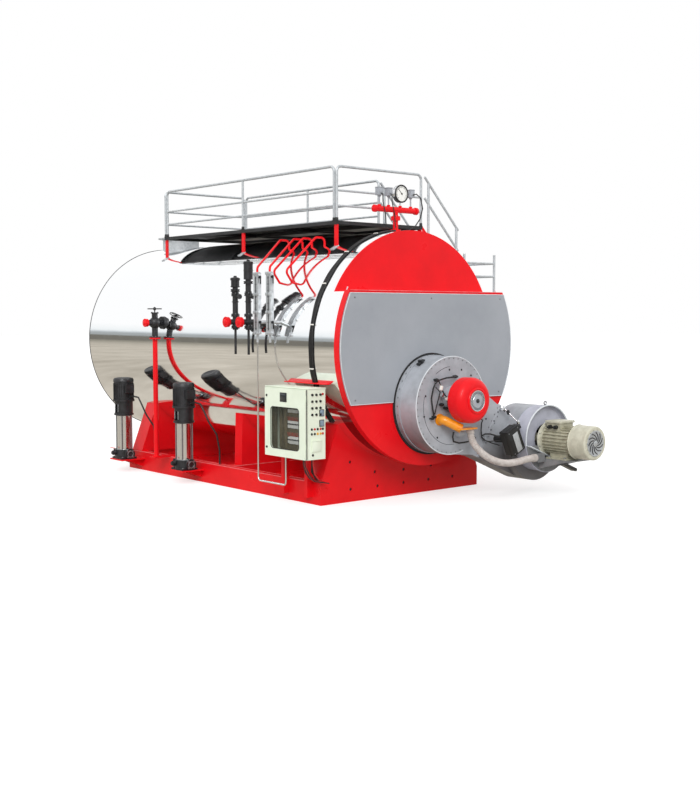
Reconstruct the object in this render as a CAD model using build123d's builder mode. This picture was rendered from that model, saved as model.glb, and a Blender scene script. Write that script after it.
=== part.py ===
from build123d import *
import os
from math import acos, atan2, cos, degrees, radians, sin, sqrt

os.makedirs("parts", exist_ok=True)

# A fire-tube steam boiler on a skid. Millimetres, +Z up, the boiler lies along Y with its front at -Y.
# The origin is on the ground under the shell's axis, at the middle saddle.

# Shell and its front and rear
shell_radius = 1300
shell_wall = 110
shell_front = -2030
shell_length = 5276
shell_clearance = 420
seat_gap = 0.3
panel_thickness = 12
rear_plate_inset = 15
chord_share = 0.4615
smokebox_depth = 200
door_depth = 80
door_overhang = 30
door_ledge = 15
door_skin = 12
grey_panel_thickness = 15
grey_panel_drop = 15
grey_panel_share = 0.9115
grey_panel_margin = 8
grey_panel_gap = 2
rear_cover_radius = 340
rear_cover_thickness = 30
rear_cover_drop = 250

# Flue outlet on the crown
flue_from_rear = 376
flue_bore_radius = 250
flue_wall = 8
flue_rise = 150
flue_flange_radius = 325
flue_flange_thickness = 14
flue_bolt_circle = 590
flue_bolt_count = 12
flue_bolt_radius = 9

# Skid base and saddles
base_inset = 75
beam_height = 245
beam_flange = 90
beam_plate = 10
front_saddle_offset = 150
saddle_depth = 250
saddle_plate = 12
saddle_shoulder = 226
saddle_wrap = 0.7615
base_rear = 2280
rear_saddle_start = 1940
middle_saddle_depth = 150
middle_saddle_inset = 215
cross_beam_width = 150
saddle_hole_radius = 18
low_hole_height = 140
low_hole_pitch = 400
upper_holes = ((0, 294), (-440, 305), (440, 305), (-810, 445), (810, 445))

# Burner
burner_drop = 640
drum_radius = 540
drum_depth = 320
drum_ring = 60
drum_ring_step = 8
gasket_thickness = 20
gasket_overhang = 28
duct_angle = 33.2
duct_reach = 681
duct_top = 383
duct_bottom = 280
duct_heel_reach = 588
duct_heel_bottom = 297
duct_depth = 250
cover_rise = 72
cover_radius = 248
cover_length = 230
cover_front_round = 90
cover_rear_round = 50
stand_length = 150
stand_radius = 150
hub_radius = 112
hub_thickness = 8

# Orange elbow on the burner's front plate and the hose that hangs from it
elbow_side = 190
elbow_drop = 145
elbow_stub = 70
elbow_reach = 200
elbow_flange_side = 50
elbow_flange_drop = 238
elbow_bend = 60
elbow_radius = 50
flange_width = 260
flange_depth = 130
flange_thickness = 16
flange_shift = 50
hose_diameter = 80
hose_side = 88
bend_share = 0.45
hose_steps = ((0, 0, -104), (42, -80, -232), (170, -140, -340), (380, -165, -402), (615, -162, -399))
hose_level = 135
hose_lead = 140
hose_socket_length = 100
hose_socket_depth = 110
hose_socket_height = 96
hose_socket_side = 285
hose_socket_reach = 55

# Forced-draught fan beside the burner
fan_x = 1275
scroll_drop = 490
scroll_radius = 440
scroll_front_step = 120
scroll_back_step = 40
eye_radius = 312
eye_depth = 200
inlet_rise = 60
inlet_radius = 380
inlet_wall = 8
inlet_length = 180
inlet_lip = 10
impeller_radius = 285
impeller_depth = 130
impeller_plate = 8
impeller_blades = 14
blade_length = 120
blade_thickness = 8
bracket_plate = 12
bracket_drop = 5
shelf_half_width = 180
shelf_length = 460
gusset_height = 126
motor_shaft_height = 210
motor_radius = 150
motor_length = 420
motor_fin_count = 28
motor_fin_height = 22
motor_fin_width = 6
motor_boss_radius = 58
motor_foot_width = 270
motor_foot_length = 294
motor_foot_thickness = 18
motor_leg_width = 180
motor_leg_length = 252
motor_leg_height = 135
terminal_box_width = 230
terminal_box_length = 190
terminal_box_rise = 215
terminal_box_from_front = 147
cowl_radius = 190
cowl_length = 230
cowl_wall = 5
cowl_face = 20
cowl_slot_count = 14
cowl_slot_width = 16
cowl_slot_length = 114
cowl_slot_circle = 95
actuator_x = 715
actuator_rise = 75
actuator_standoff = 190
actuator_width = 200
actuator_height = 300
actuator_depth = 120
actuator_round = 15
actuator_tilt = 25
actuator_shaft_radius = 40

# Walkway on the crown
deck_half_width = 670
deck_front = -1480
deck_rear = 2220
deck_clearance = 110
deck_frame = 40
deck_sheet = 6
leg_width = 60
leg_thickness = 14
leg_inset = 22
leg_count = 6
rail_height = 610
rail_radius = 15.5
rail_bend = 60
middle_post_radius = 14.5
mid_rail_radius = 12.5
mid_rail_heights = (170, 340)
middle_post_shares = (0.5,)
stair_opening = 760

# Stair and landing on the right side
landing_drop = 780
landing_clearance = 60
landing_width = 640
string_plate = 10
string_drop = 190
string_rise = 50
string_heel = 100
upper_stair_steps = 3
stair_rise = 195
tread_depth = 210
lower_tread_depth = 150
tread_thickness = 30
stair_rail_heights = (335, 585)
upper_rail_run = 575
lower_rail_run = 1170
lower_post_shares = (0.02, 0.5, 0.98)
guard_height = 480
guard_rails = (205, 370)
guard_inset = 47
post_size = 80
post_inset = 50
brace_drop = 520
brace_width = 90
lower_stair_run = 1360
lower_stair_steps = 12

# Feed pumps, by their distance outside the skid and their place along it
pump_offsets = ((225, 2010), (195, 570))
pump_foot = 166
pump_foot_width = 220
pump_foot_length = 260
pump_foot_thickness = 22
pump_base_height = 120
pump_sleeve_radius = 92
pump_sleeve_length = 460
pump_head_overhang = 26
pump_stay_radius = 8
pump_stay_gap = 3
pump_stay_count = 4
pump_stay_angle = 45
pump_stool_height = 180
stool_window_width = 90
stool_window_height = 110
coupling_radius = 24
pump_motor_radius = 128
pump_motor_length = 310
pump_motor_round = 16
pump_box_width = 120
pump_box_height = 110
pump_box_reach = 175
pump_box_rise = 120
pump_port_radius = 70
pump_port_reach = 160
pump_port_flange = 20
pump_port_pipe = 42
bracket_width = 320
bracket_thickness = 16
bracket_overhang = 128
pipe_bracket_width = 140
pipe_bracket_reach = 62

# Feed line, its valve placed from the shell's axis
feed_standoff = 100
feed_y = 1270
feed_pipe_radius = 31
feed_foot_radius = 56
feed_foot_thickness = 12
feed_valve_rise = 250
feed_flange_drop = 190
feed_flange_radius = 70
feed_flange_thickness = 16
valve_body_radius = 75
valve_neck_radius = 38
valve_nozzle_reach = 110
valve_wall_flange = 80
valve_wall_flange_reach = 30
valve_bonnet_radius = 50
valve_bonnet_thickness = 15
valve_bonnet_drop = 45
valve_sink = 60
stem_radius = 8
stem_top = 24
wheel_rise = 177
wheel_radius = 85
wheel_rim = 7
wheel_spoke_width = 12
wheel_spoke_thickness = 8
wheel_hub_radius = 18
wheel_hub_length = 34

# Level columns and gauges on the left side, placed from the shell's axis
level_standoff = 120
level_nozzle_rise = 270
column_places = (-560, -820)
column_rises = (505, 680)
column_radius = 32
column_drop = 90
column_cap_radii = (48, 52)
column_cap_lengths = (110, 200)
column_flange_radius = 48
column_flange_rise = 60
column_flange_thickness = 30
column_nozzle_reach = 100
drain_radius = 14
drain_length = 280
cap_radius = 58
cap_length = 40
gauge_places = (-995, -1230)
gauge_rise = 550
gauge_drop = 135
gauge_width = 84
gauge_thickness = 46
gauge_cock_radius = 20
gauge_drain_radius = 14
gauge_drain_length = 90
gauge_conduit_radius = 10
gauge_conduit_bend = 40
gauge_conduit_level = 205
gauge_conduit_run = 515
impulse_radius = 13
impulse_tap_side = 640
impulse_tap_depth = 220
impulse_top = 70
impulse_shoulder = 130
impulse_gauge_stub = 60
impulse_low_side = 1180
impulse_low_drop = 460
impulse_end_side = 1060
impulse_end_drop = 620
impulse_lean = 30
impulse_bend = 55

# Control cabinet on the left side
cabinet_standoff = 325
cabinet_depth = 250
cabinet_lead = 20
cabinet_width = 720
cabinet_bottom = 540
cabinet_height = 750
cabinet_wall = 4
door_gap = 3
cabinet_door_thickness = 18
cabinet_door_round = 6
door_margin = 2
window_width = 500
window_height = 450
window_round = 40
window_drop = 60
rebate = 8
glass_gap = 1
glass_thickness = 4
hinge_radius = 7
hinge_length = 30
hinge_reach = 8
hinge_leaf = 20
hinge_low = 100
hinge_high = 130
gear_plate_inset = 30
gear_plate_thickness = 4
gear_margin = 80
gear_stud = 16
gear_rows = 3
gear_row_pitch = 170
gear_row_drop = 200
gear_depth = 85
gear_length = 400
gear_height = 90
control_rows = 4
control_columns = 3
control_row_pitch = 70
control_column_pitch = 55
control_inset = 70
control_drop = 60
control_radius = 13
control_length = 12
stand_post_width = 50
stand_post_foot = 80
stand_rise = 600
stand_front_inset = 80
stand_rear_reach = 40
stand_rail_thickness = 30
stand_rail_rises = (60, 540)

# Cable bundle clipped round the cladding
bundle_y = -1810
bundle_width = 75
bundle_height = 30
bundle_low = 820
bundle_high = 1400
bundle_inset = 100

# Instruments on the crown
manifold_y = -1730
manifold_rise = 250
manifold_radius = 33
manifold_half_length = 330
manifold_post_radius = 30
manifold_foot_radius = 62
manifold_foot_height = 24
manifold_sink = 20
manifold_joint_rise = 130
manifold_joint_radius = 55
manifold_joint_height = 44
dial_x = 70
dial_rise = 185
dial_radius = 100
dial_depth = 50
dial_stem_radius = 12
switch_places = (-250, -110, 235)
switch_rise = 150
switch_stem_radius = 9
switch_width = 62
switch_depth = 70
switch_height = 90

# Places worked out from the sizes above
axis_height = shell_radius + shell_clearance
crown_height = axis_height + shell_radius
shell_rear = shell_front + shell_length
chord_height = axis_height + shell_radius * chord_share
smokebox_front = shell_front - smokebox_depth
door_front = smokebox_front - door_depth
door_radius = shell_radius + door_overhang
grey_panel_top = chord_height - grey_panel_drop
grey_panel_height = shell_radius * grey_panel_share
flue_y = shell_rear - flue_from_rear
base_half_width = shell_radius - base_inset
middle_saddle_half_width = base_half_width - middle_saddle_inset
front_saddle_front = shell_front + front_saddle_offset
front_saddle_rear = front_saddle_front + saddle_depth
burner_height = axis_height - burner_drop
cover_height = burner_height + cover_rise
drum_back = door_front - gasket_thickness
drum_front = drum_back - drum_depth
cover_back = drum_front - stand_length
scroll_height = burner_height - scroll_drop
inlet_height = scroll_height + inlet_rise
actuator_level = scroll_height + actuator_rise
scroll_front = drum_front - scroll_front_step
inlet_front = scroll_front - inlet_length
motor_front = inlet_front - bracket_plate - inlet_lip
motor_rear = motor_front - motor_length
deck_top = crown_height + deck_clearance
landing_top = deck_top - landing_drop
landing_left = shell_radius + landing_clearance
landing_right = landing_left + landing_width
pump_places = [(-base_half_width - outside, along_skid) for outside, along_skid in pump_offsets]
feed_x = -shell_radius - feed_standoff
feed_valve_height = axis_height + feed_valve_rise
feed_flange_height = feed_valve_height - feed_flange_drop
wheel_height = feed_valve_height + wheel_rise
level_x = -shell_radius - level_standoff
level_nozzle_height = axis_height + level_nozzle_rise
gauge_top = level_nozzle_height + gauge_rise
gauge_bottom = level_nozzle_height - gauge_drop
cabinet_left = -base_half_width - cabinet_standoff
cabinet_front = shell_front - cabinet_lead
manifold_height = crown_height + manifold_rise
dial_height = manifold_height + dial_rise
switch_level = manifold_height + switch_rise


def facing_front(y):
    # Sketch plane at depth y: local x is X and local y is Z, extruding towards the front
    return Plane.XZ.offset(-y)


def shell_half_width(z):
    return sqrt(shell_radius**2 - (z - axis_height) ** 2)


def save(piece, name):
    piece.part.label = name
    export_step(piece.part, f"parts/{name}.step")


def bar(start, end, radius):
    run = Vector(*end) - Vector(*start)
    with BuildSketch(Plane(origin=start, z_dir=run)) as section:
        Circle(radius)
    extrude(section.sketch, amount=run.length)


def bent_tube(points, bend, radius):
    with BuildLine() as path:
        FilletPolyline(*points, radius=bend)
    with BuildSketch(Plane(origin=path.line @ 0, z_dir=path.line % 0)) as section:
        Circle(radius)
    sweep(section.sketch, path=path.line)


def trim_to_shell():
    # Cut whatever stands on the cladding to its curve
    with Locations((0, shell_front + shell_length / 2, axis_height)):
        Cylinder(shell_radius + seat_gap, 2 * shell_length, rotation=(90, 0, 0), mode=Mode.SUBTRACT)


# Shell: plate, insulation and polished cladding in one wall
with BuildPart() as cladding_shell:
    with BuildSketch(facing_front(shell_front + panel_thickness)):
        with Locations((0, axis_height)):
            Circle(shell_radius)
            Circle(shell_radius - shell_wall, mode=Mode.SUBTRACT)
    extrude(amount=-(shell_length - 2 * panel_thickness))
    with BuildSketch(Plane.XY.offset(axis_height)):
        with Locations((0, flue_y)):
            Circle(flue_bore_radius - flue_wall)
    extrude(amount=2 * shell_radius, mode=Mode.SUBTRACT)
save(cladding_shell, "cladding_shell")

with BuildPart() as rear_end_plate:
    with BuildSketch(facing_front(shell_rear)):
        with Locations((0, axis_height)):
            Circle(shell_radius - rear_plate_inset)
    extrude(amount=panel_thickness)
save(rear_end_plate, "rear_end_plate")

with BuildPart() as rear_access_cover:
    with BuildSketch(facing_front(shell_rear)):
        with Locations((0, axis_height - rear_cover_drop)):
            Circle(rear_cover_radius)
    extrude(amount=-rear_cover_thickness)
    fillet(rear_access_cover.edges().group_by(Axis.Y)[-1], rear_cover_thickness / 3)
save(rear_access_cover, "rear_access_cover")

# Front: red segment above the chord, smoke box and door below it
with BuildPart() as front_top_panel:
    with BuildSketch(facing_front(shell_front)):
        with Locations((0, axis_height)):
            Circle(shell_radius)
        with Locations((0, chord_height)):
            Rectangle(
                2 * shell_radius, shell_radius, align=(Align.CENTER, Align.MIN), mode=Mode.INTERSECT
            )
    extrude(amount=-panel_thickness)
save(front_top_panel, "front_top_panel")

with BuildPart() as front_smokebox:
    with BuildSketch(facing_front(shell_front + panel_thickness)):
        with Locations((0, axis_height)):
            Circle(shell_radius)
        with Locations((0, chord_height)):
            Rectangle(
                2 * shell_radius, 3 * shell_radius, align=(Align.CENTER, Align.MAX), mode=Mode.INTERSECT
            )
        offset(amount=-shell_wall, mode=Mode.SUBTRACT)
    extrude(amount=smokebox_depth + panel_thickness)
save(front_smokebox, "front_smokebox")

with BuildPart() as front_door:
    with BuildSketch(facing_front(smokebox_front)):
        with Locations((0, axis_height)):
            Circle(door_radius)
        with Locations((0, chord_height + door_ledge)):
            Rectangle(2 * door_radius, 3 * door_radius, align=(Align.CENTER, Align.MAX), mode=Mode.INTERSECT)
    extrude(amount=door_depth)
    with BuildSketch(facing_front(smokebox_front)):
        with Locations((0, axis_height)):
            Circle(shell_radius - shell_wall)
        with Locations((0, chord_height - shell_wall)):
            Rectangle(
                2 * shell_radius, 3 * shell_radius, align=(Align.CENTER, Align.MAX), mode=Mode.INTERSECT
            )
    extrude(amount=door_depth - door_skin, mode=Mode.SUBTRACT)
save(front_door, "front_door")

with BuildPart() as front_grey_panel:
    with BuildSketch(facing_front(door_front)):
        with Locations((0, axis_height)):
            Circle(door_radius - grey_panel_margin)
        with Locations((0, grey_panel_top)):
            Rectangle(
                2 * door_radius, grey_panel_height, align=(Align.CENTER, Align.MAX), mode=Mode.INTERSECT
            )
        with Locations((0, burner_height)):
            Circle(drum_radius + gasket_overhang + grey_panel_gap, mode=Mode.SUBTRACT)
    extrude(amount=grey_panel_thickness)
save(front_grey_panel, "front_grey_panel")

# Flue outlet: flanged nozzle standing on the crown
with BuildPart() as flue_outlet:
    flue_top = crown_height + flue_rise
    with BuildSketch(Plane.XY.offset(flue_top)):
        with Locations((0, flue_y)):
            Circle(flue_bore_radius + flue_wall)
    extrude(amount=-flue_rise - shell_wall / 2)
    with BuildSketch(Plane.XY.offset(flue_top)):
        with Locations((0, flue_y)):
            Circle(flue_flange_radius)
            with PolarLocations(flue_bolt_circle / 2, flue_bolt_count):
                Circle(flue_bolt_radius, mode=Mode.SUBTRACT)
    extrude(amount=-flue_flange_thickness)
    with BuildSketch(Plane.XY.offset(flue_top)):
        with Locations((0, flue_y)):
            Circle(flue_bore_radius)
    extrude(amount=-flue_rise - shell_wall, mode=Mode.SUBTRACT)
    trim_to_shell()
save(flue_outlet, "flue_outlet")

# Skid base: two channels, cross beams and three welded saddles
with BuildPart() as base_beams:
    for side in (-1, 1):
        with BuildSketch(facing_front(front_saddle_rear)):
            with Locations((side * (base_half_width - beam_flange / 2), beam_height / 2)):
                Rectangle(beam_flange, beam_height)
            with Locations((side * (base_half_width - beam_plate - beam_flange / 2), beam_height / 2)):
                Rectangle(beam_flange, beam_height - 2 * beam_plate, mode=Mode.SUBTRACT)
        extrude(amount=-(base_rear - front_saddle_rear))
save(base_beams, "base_beams")

cross_beam_places = (0, rear_saddle_start + saddle_depth / 2)
with BuildPart() as base_cross_beams:
    for y in cross_beam_places:
        with BuildSketch(facing_front(y - cross_beam_width / 2)):
            with Locations((0, beam_height / 2)):
                Rectangle(2 * (base_half_width - beam_flange), beam_height)
        extrude(amount=-cross_beam_width)
save(base_cross_beams, "base_cross_beams")


def saddle_outline(plane, half_width, bottom, shoulder, inset):
    # Front view of a saddle: upright feet, sloping ends and the shell's curve on top
    top_half_width = min(shell_radius * saddle_wrap, half_width)
    top = axis_height - sqrt(shell_radius**2 - top_half_width**2)
    with BuildSketch(plane) as outline:
        with BuildLine():
            Polyline(
                (-half_width, bottom), (-half_width, shoulder), (-top_half_width, top),
                (top_half_width, top), (half_width, shoulder), (half_width, bottom), close=True,
            )
        make_face()
        with Locations((0, axis_height)):
            Circle(shell_radius + seat_gap, mode=Mode.SUBTRACT)
        if inset:
            offset(amount=-inset, mode=Mode.REPLACE)
    return outline.sketch


with BuildPart() as front_saddle:
    outer = saddle_outline(facing_front(front_saddle_front), base_half_width, 0, saddle_shoulder, 0)
    extrude(outer, amount=-saddle_depth)
    inner = saddle_outline(
        facing_front(front_saddle_front + saddle_plate), base_half_width, 0, saddle_shoulder, saddle_plate
    )
    extrude(inner, amount=-(saddle_depth - 2 * saddle_plate), mode=Mode.SUBTRACT)
    with BuildSketch(facing_front(front_saddle_front)):
        with Locations((0, low_hole_height)):
            with GridLocations(low_hole_pitch, low_hole_pitch, 5, 1):
                Circle(saddle_hole_radius)
        with Locations(*upper_holes):
            Circle(saddle_hole_radius)
    extrude(amount=-saddle_plate, mode=Mode.SUBTRACT)
save(front_saddle, "front_saddle")

with BuildPart() as rear_saddles:
    foot = beam_height + saddle_plate
    middle = saddle_outline(
        facing_front(-middle_saddle_depth / 2), middle_saddle_half_width, beam_height, foot, 0
    )
    extrude(middle, amount=-middle_saddle_depth)
    rear = saddle_outline(facing_front(rear_saddle_start), base_half_width, beam_height, foot, 0)
    extrude(rear, amount=-saddle_depth)
save(rear_saddles, "rear_saddles")

# Burner: windbox drum with its air duct, front plate flush with the duct
along = Vector(cos(radians(duct_angle)), -sin(radians(duct_angle)))
across = Vector(sin(radians(duct_angle)), cos(radians(duct_angle)))
drum_centre = Vector(0, burner_height)
duct_upper = drum_centre + along * duct_reach + across * duct_top
duct_lower = drum_centre + along * duct_reach - across * duct_bottom

with BuildPart() as burner_gasket:
    with BuildSketch(facing_front(door_front)):
        with Locations((0, burner_height)):
            Circle(drum_radius + gasket_overhang)
            Circle(drum_radius - 2 * gasket_overhang, mode=Mode.SUBTRACT)
    extrude(amount=gasket_thickness)
save(burner_gasket, "burner_gasket")

with BuildPart() as burner_windbox:
    with BuildSketch(facing_front(drum_back)):
        with Locations((0, burner_height)):
            Circle(drum_radius + drum_ring_step)
    extrude(amount=drum_ring)
    with BuildSketch(facing_front(drum_back)):
        with Locations((0, burner_height)):
            Circle(drum_radius)
    extrude(amount=drum_depth)
    with BuildSketch(facing_front(drum_front)):
        with BuildLine():
            Polyline(
                (0, burner_height),
                (0, burner_height - drum_radius),
                drum_centre + along * duct_heel_reach - across * duct_heel_bottom,
                duct_lower,
                duct_upper,
                drum_centre + along * (duct_reach / 2) + across * duct_top,
                close=True,
            )
        make_face()
    extrude(amount=-duct_depth)
save(burner_windbox, "burner_windbox")

with BuildPart() as burner_motor_stand:
    with BuildSketch(facing_front(drum_front)):
        with Locations((0, cover_height)):
            Circle(stand_radius)
    extrude(amount=stand_length)
save(burner_motor_stand, "burner_motor_stand")

with BuildPart() as burner_motor_cover:
    with BuildSketch(facing_front(cover_back)):
        with Locations((0, cover_height)):
            Circle(cover_radius)
    extrude(amount=cover_length)
    fillet(burner_motor_cover.edges().group_by(Axis.Y)[0], cover_front_round)
    fillet(burner_motor_cover.edges().group_by(Axis.Y)[-1], cover_rear_round)
save(burner_motor_cover, "burner_motor_cover")

with BuildPart() as burner_hub:
    with BuildSketch(facing_front(cover_back - cover_length)):
        with Locations((0, cover_height)):
            Circle(hub_radius)
    extrude(amount=hub_thickness)
save(burner_hub, "burner_hub")

# Orange elbow on the front plate and the flexible air hose that hangs from it to the fan
elbow_start = Vector(-elbow_side, drum_front, burner_height - elbow_drop)
elbow_corner = elbow_start + Vector(0, -elbow_stub, 0)
elbow_end = Vector(-elbow_flange_side, drum_front - elbow_reach, burner_height - elbow_flange_drop)
with BuildPart() as burner_elbow:
    bent_tube((elbow_start, elbow_corner, elbow_end), elbow_bend, elbow_radius)
    with Locations(elbow_end + Vector(flange_shift, 0, 0)):
        Box(flange_width, flange_depth, flange_thickness)
save(burner_elbow, "burner_elbow")

hose_top = Vector(hose_side, elbow_end.Y, elbow_end.Z - flange_thickness / 2)
hose_end = Vector(fan_x - hose_socket_side, inlet_front - hose_socket_reach, scroll_height - hose_level)
hose_route = (
    hose_top,
    *[hose_top + Vector(*step) for step in hose_steps],
    hose_end - Vector(hose_lead, 0, 0),
    hose_end,
)


def cord_radii(route):
    # Each arc as large as its two runs allow
    radii = []
    for before, corner, after in zip(route, route[1:], route[2:]):
        run_in = corner - before
        run_out = after - corner
        half_turn = radians(run_in.get_angle(run_out)) / 2
        radii.append(bend_share * min(run_in.length, run_out.length) * cos(half_turn) / sin(half_turn))
    return radii


with BuildPart() as primary_air_hose:
    bent_tube(hose_route, cord_radii(hose_route), hose_diameter / 2)
save(primary_air_hose, "primary_air_hose")

# Forced-draught fan: scroll joined to the duct, open inlet, motor on a shelf
scroll_centre = Vector(fan_x, scroll_height)
scroll_reach = along.dot(scroll_centre - drum_centre)
to_scroll = scroll_centre - duct_lower
tangent_angle = degrees(atan2(to_scroll.Y, to_scroll.X) + acos(scroll_radius / to_scroll.length))
scroll_tangent = scroll_centre - Vector(
    scroll_radius * cos(radians(tangent_angle)), scroll_radius * sin(radians(tangent_angle))
)
with BuildPart() as fan_scroll:
    with BuildSketch(facing_front(scroll_front)):
        with Locations(scroll_centre):
            Circle(scroll_radius)
    extrude(amount=-(scroll_front_step + duct_depth - scroll_back_step))
    with BuildSketch(facing_front(drum_front)):
        with BuildLine():
            Polyline(
                duct_lower,
                duct_upper,
                drum_centre + along * scroll_reach + across * duct_top,
                scroll_centre,
                scroll_tangent,
                close=True,
            )
        make_face()
    extrude(amount=-(duct_depth - scroll_back_step))
    with BuildSketch(facing_front(scroll_front)):
        with Locations((fan_x, inlet_height)):
            Circle(eye_radius)
    extrude(amount=-eye_depth, mode=Mode.SUBTRACT)
save(fan_scroll, "fan_scroll")

with BuildPart() as fan_inlet:
    with BuildSketch(facing_front(scroll_front)):
        with Locations((fan_x, inlet_height)):
            Circle(inlet_radius)
    extrude(amount=inlet_length)
    with BuildSketch(facing_front(inlet_front)):
        with Locations((fan_x, inlet_height)):
            Circle(inlet_radius + inlet_lip)
    extrude(amount=-inlet_lip)
    with BuildSketch(facing_front(scroll_front)):
        with Locations((fan_x, inlet_height)):
            Circle(inlet_radius - inlet_wall)
    extrude(amount=inlet_length, mode=Mode.SUBTRACT)
save(fan_inlet, "fan_inlet")

# Impeller: hub on the motor's boss, a back plate and blades round it
with BuildPart() as fan_impeller:
    with BuildSketch(facing_front(scroll_front + impeller_depth)):
        with Locations((fan_x, inlet_height)):
            Circle(motor_boss_radius)
    extrude(amount=impeller_depth)
    with BuildSketch(facing_front(scroll_front + impeller_depth)):
        with Locations((fan_x, inlet_height)):
            Circle(impeller_radius)
    extrude(amount=impeller_plate)
    with BuildSketch(facing_front(scroll_front + impeller_depth)):
        with Locations((fan_x, inlet_height)):
            with PolarLocations(impeller_radius - blade_length, impeller_blades):
                Rectangle(blade_length, blade_thickness, align=(Align.MIN, Align.CENTER))
    extrude(amount=impeller_depth - impeller_plate)
save(fan_impeller, "fan_impeller")

shelf_top = inlet_height - motor_shaft_height
with BuildPart() as motor_bracket:
    with BuildSketch(facing_front(inlet_front)):
        with Locations((fan_x, inlet_height)):
            Circle(inlet_radius)
        with Locations((fan_x, scroll_height - bracket_drop)):
            Rectangle(
                2 * inlet_radius, 2 * inlet_radius, align=(Align.CENTER, Align.MAX), mode=Mode.INTERSECT
            )
    extrude(amount=bracket_plate)
    with Locations((fan_x, inlet_front, shelf_top)):
        Box(2 * shelf_half_width, shelf_length, bracket_plate, align=(Align.CENTER, Align.MAX, Align.MAX))
    for side in (-1, 1):
        with BuildSketch(Plane.YZ.offset(fan_x + side * shelf_half_width)):
            with BuildLine():
                Polyline(
                    (inlet_front, shelf_top),
                    (inlet_front - shelf_length, shelf_top),
                    (inlet_front, shelf_top - gusset_height),
                    close=True,
                )
            make_face()
        extrude(amount=-side * bracket_plate)
    with Locations((hose_end.X, inlet_front, hose_end.Z)):
        Box(hose_socket_length, hose_socket_depth, hose_socket_height,
            align=(Align.MIN, Align.MAX, Align.CENTER))
save(motor_bracket, "motor_bracket")

with BuildPart() as fan_motor:
    with BuildSketch(facing_front(motor_front)):
        with Locations((fan_x, inlet_height)):
            Circle(motor_radius)
    extrude(amount=motor_length)
    with BuildSketch(facing_front(motor_front)):
        with Locations((fan_x, inlet_height)):
            Circle(motor_boss_radius)
    extrude(amount=-(scroll_front - motor_front))
    with BuildSketch(facing_front(motor_front - motor_fin_height)):
        with Locations((fan_x, inlet_height)):
            with PolarLocations(motor_radius, motor_fin_count):
                Rectangle(2 * motor_fin_height, motor_fin_width)
    extrude(amount=motor_length - 3 * motor_fin_height)
    with Locations((fan_x, motor_front - motor_length / 2, shelf_top)):
        Box(motor_foot_width, motor_foot_length, motor_foot_thickness,
            align=(Align.CENTER, Align.CENTER, Align.MIN))
        Box(motor_leg_width, motor_leg_length, motor_leg_height,
            align=(Align.CENTER, Align.CENTER, Align.MIN))
    with Locations((fan_x, motor_front - terminal_box_from_front, inlet_height)):
        Box(terminal_box_width, terminal_box_length, terminal_box_rise,
            align=(Align.CENTER, Align.CENTER, Align.MIN))
    with BuildSketch(facing_front(motor_rear)):
        with Locations((fan_x, inlet_height)):
            Circle(cowl_radius)
    extrude(amount=-motor_fin_height / 2)
save(fan_motor, "fan_motor")

with BuildPart() as fan_motor_cowl:
    with BuildSketch(facing_front(motor_rear)):
        with Locations((fan_x, inlet_height)):
            Circle(cowl_radius)
    extrude(amount=cowl_length)
    fillet(fan_motor_cowl.edges().group_by(Axis.Y)[0], cowl_face)
    with BuildSketch(facing_front(motor_rear)):
        with Locations((fan_x, inlet_height)):
            Circle(cowl_radius - cowl_wall)
    extrude(amount=cowl_length - cowl_face, mode=Mode.SUBTRACT)
    with BuildSketch(facing_front(motor_rear - cowl_length)):
        with Locations((fan_x, inlet_height)):
            with PolarLocations(cowl_slot_circle, cowl_slot_count):
                SlotOverall(cowl_slot_length, cowl_slot_width)
    extrude(amount=-cowl_face - cowl_wall, mode=Mode.SUBTRACT)
save(fan_motor_cowl, "fan_motor_cowl")

with BuildPart() as damper_actuator:
    with BuildSketch(facing_front(drum_front - actuator_standoff)):
        with Locations(Location((actuator_x, actuator_level), actuator_tilt)):
            RectangleRounded(actuator_width, actuator_height, actuator_round)
    extrude(amount=actuator_depth)
    with BuildSketch(facing_front(drum_front)):
        with Locations((actuator_x, actuator_level)):
            Circle(actuator_shaft_radius)
    extrude(amount=actuator_standoff)
save(damper_actuator, "damper_actuator")

# Walkway: deck on six legs that stand on the cladding, tubular guard rails
with BuildPart() as walkway_deck:
    with BuildSketch(Plane.XY.offset(deck_top)):
        with Locations((0, (deck_front + deck_rear) / 2)):
            Rectangle(2 * deck_half_width, deck_rear - deck_front)
    extrude(amount=-deck_frame)
    with BuildSketch(Plane.XY.offset(deck_top - deck_frame)):
        with Locations((0, (deck_front + deck_rear) / 2)):
            with GridLocations(deck_half_width, (deck_rear - deck_front) / 3, 2, 3):
                Rectangle(deck_half_width - deck_frame, (deck_rear - deck_front) / 3 - deck_frame)
    extrude(amount=deck_frame - deck_sheet, mode=Mode.SUBTRACT)
save(walkway_deck, "walkway_deck")

leg_places = (deck_front + leg_width / 2, (deck_front + deck_rear) / 2, deck_rear - leg_width / 2)
with BuildPart() as walkway_legs:
    for side in (-1, 1):
        for y in leg_places:
            with Locations((side * (deck_half_width - leg_inset), y, deck_top - deck_frame)):
                Box(leg_thickness, leg_width, deck_half_width, align=(Align.CENTER, Align.CENTER, Align.MAX))
    trim_to_shell()
    keep = walkway_legs.part.solids().sort_by(Axis.Z)[-leg_count:]
    add(keep, mode=Mode.REPLACE)
save(walkway_legs, "walkway_legs")


def guard_side(start, end):
    # One flat side of guard rail: bent top tube, two mid rails and posts between
    start = Vector(*start, deck_top)
    end = Vector(*end, deck_top)
    rise = Vector(0, 0, rail_height)
    bent_tube((start, start + rise, end + rise, end), rail_bend, rail_radius)
    for mid in mid_rail_heights:
        bar(start + Vector(0, 0, mid), end + Vector(0, 0, mid), mid_rail_radius)


def middle_posts(start, end):
    for share in middle_post_shares:
        base = Vector(*start, deck_top) + (Vector(*end, deck_top) - Vector(*start, deck_top)) * share
        bar(base, base + Vector(0, 0, rail_height), middle_post_radius)


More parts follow.
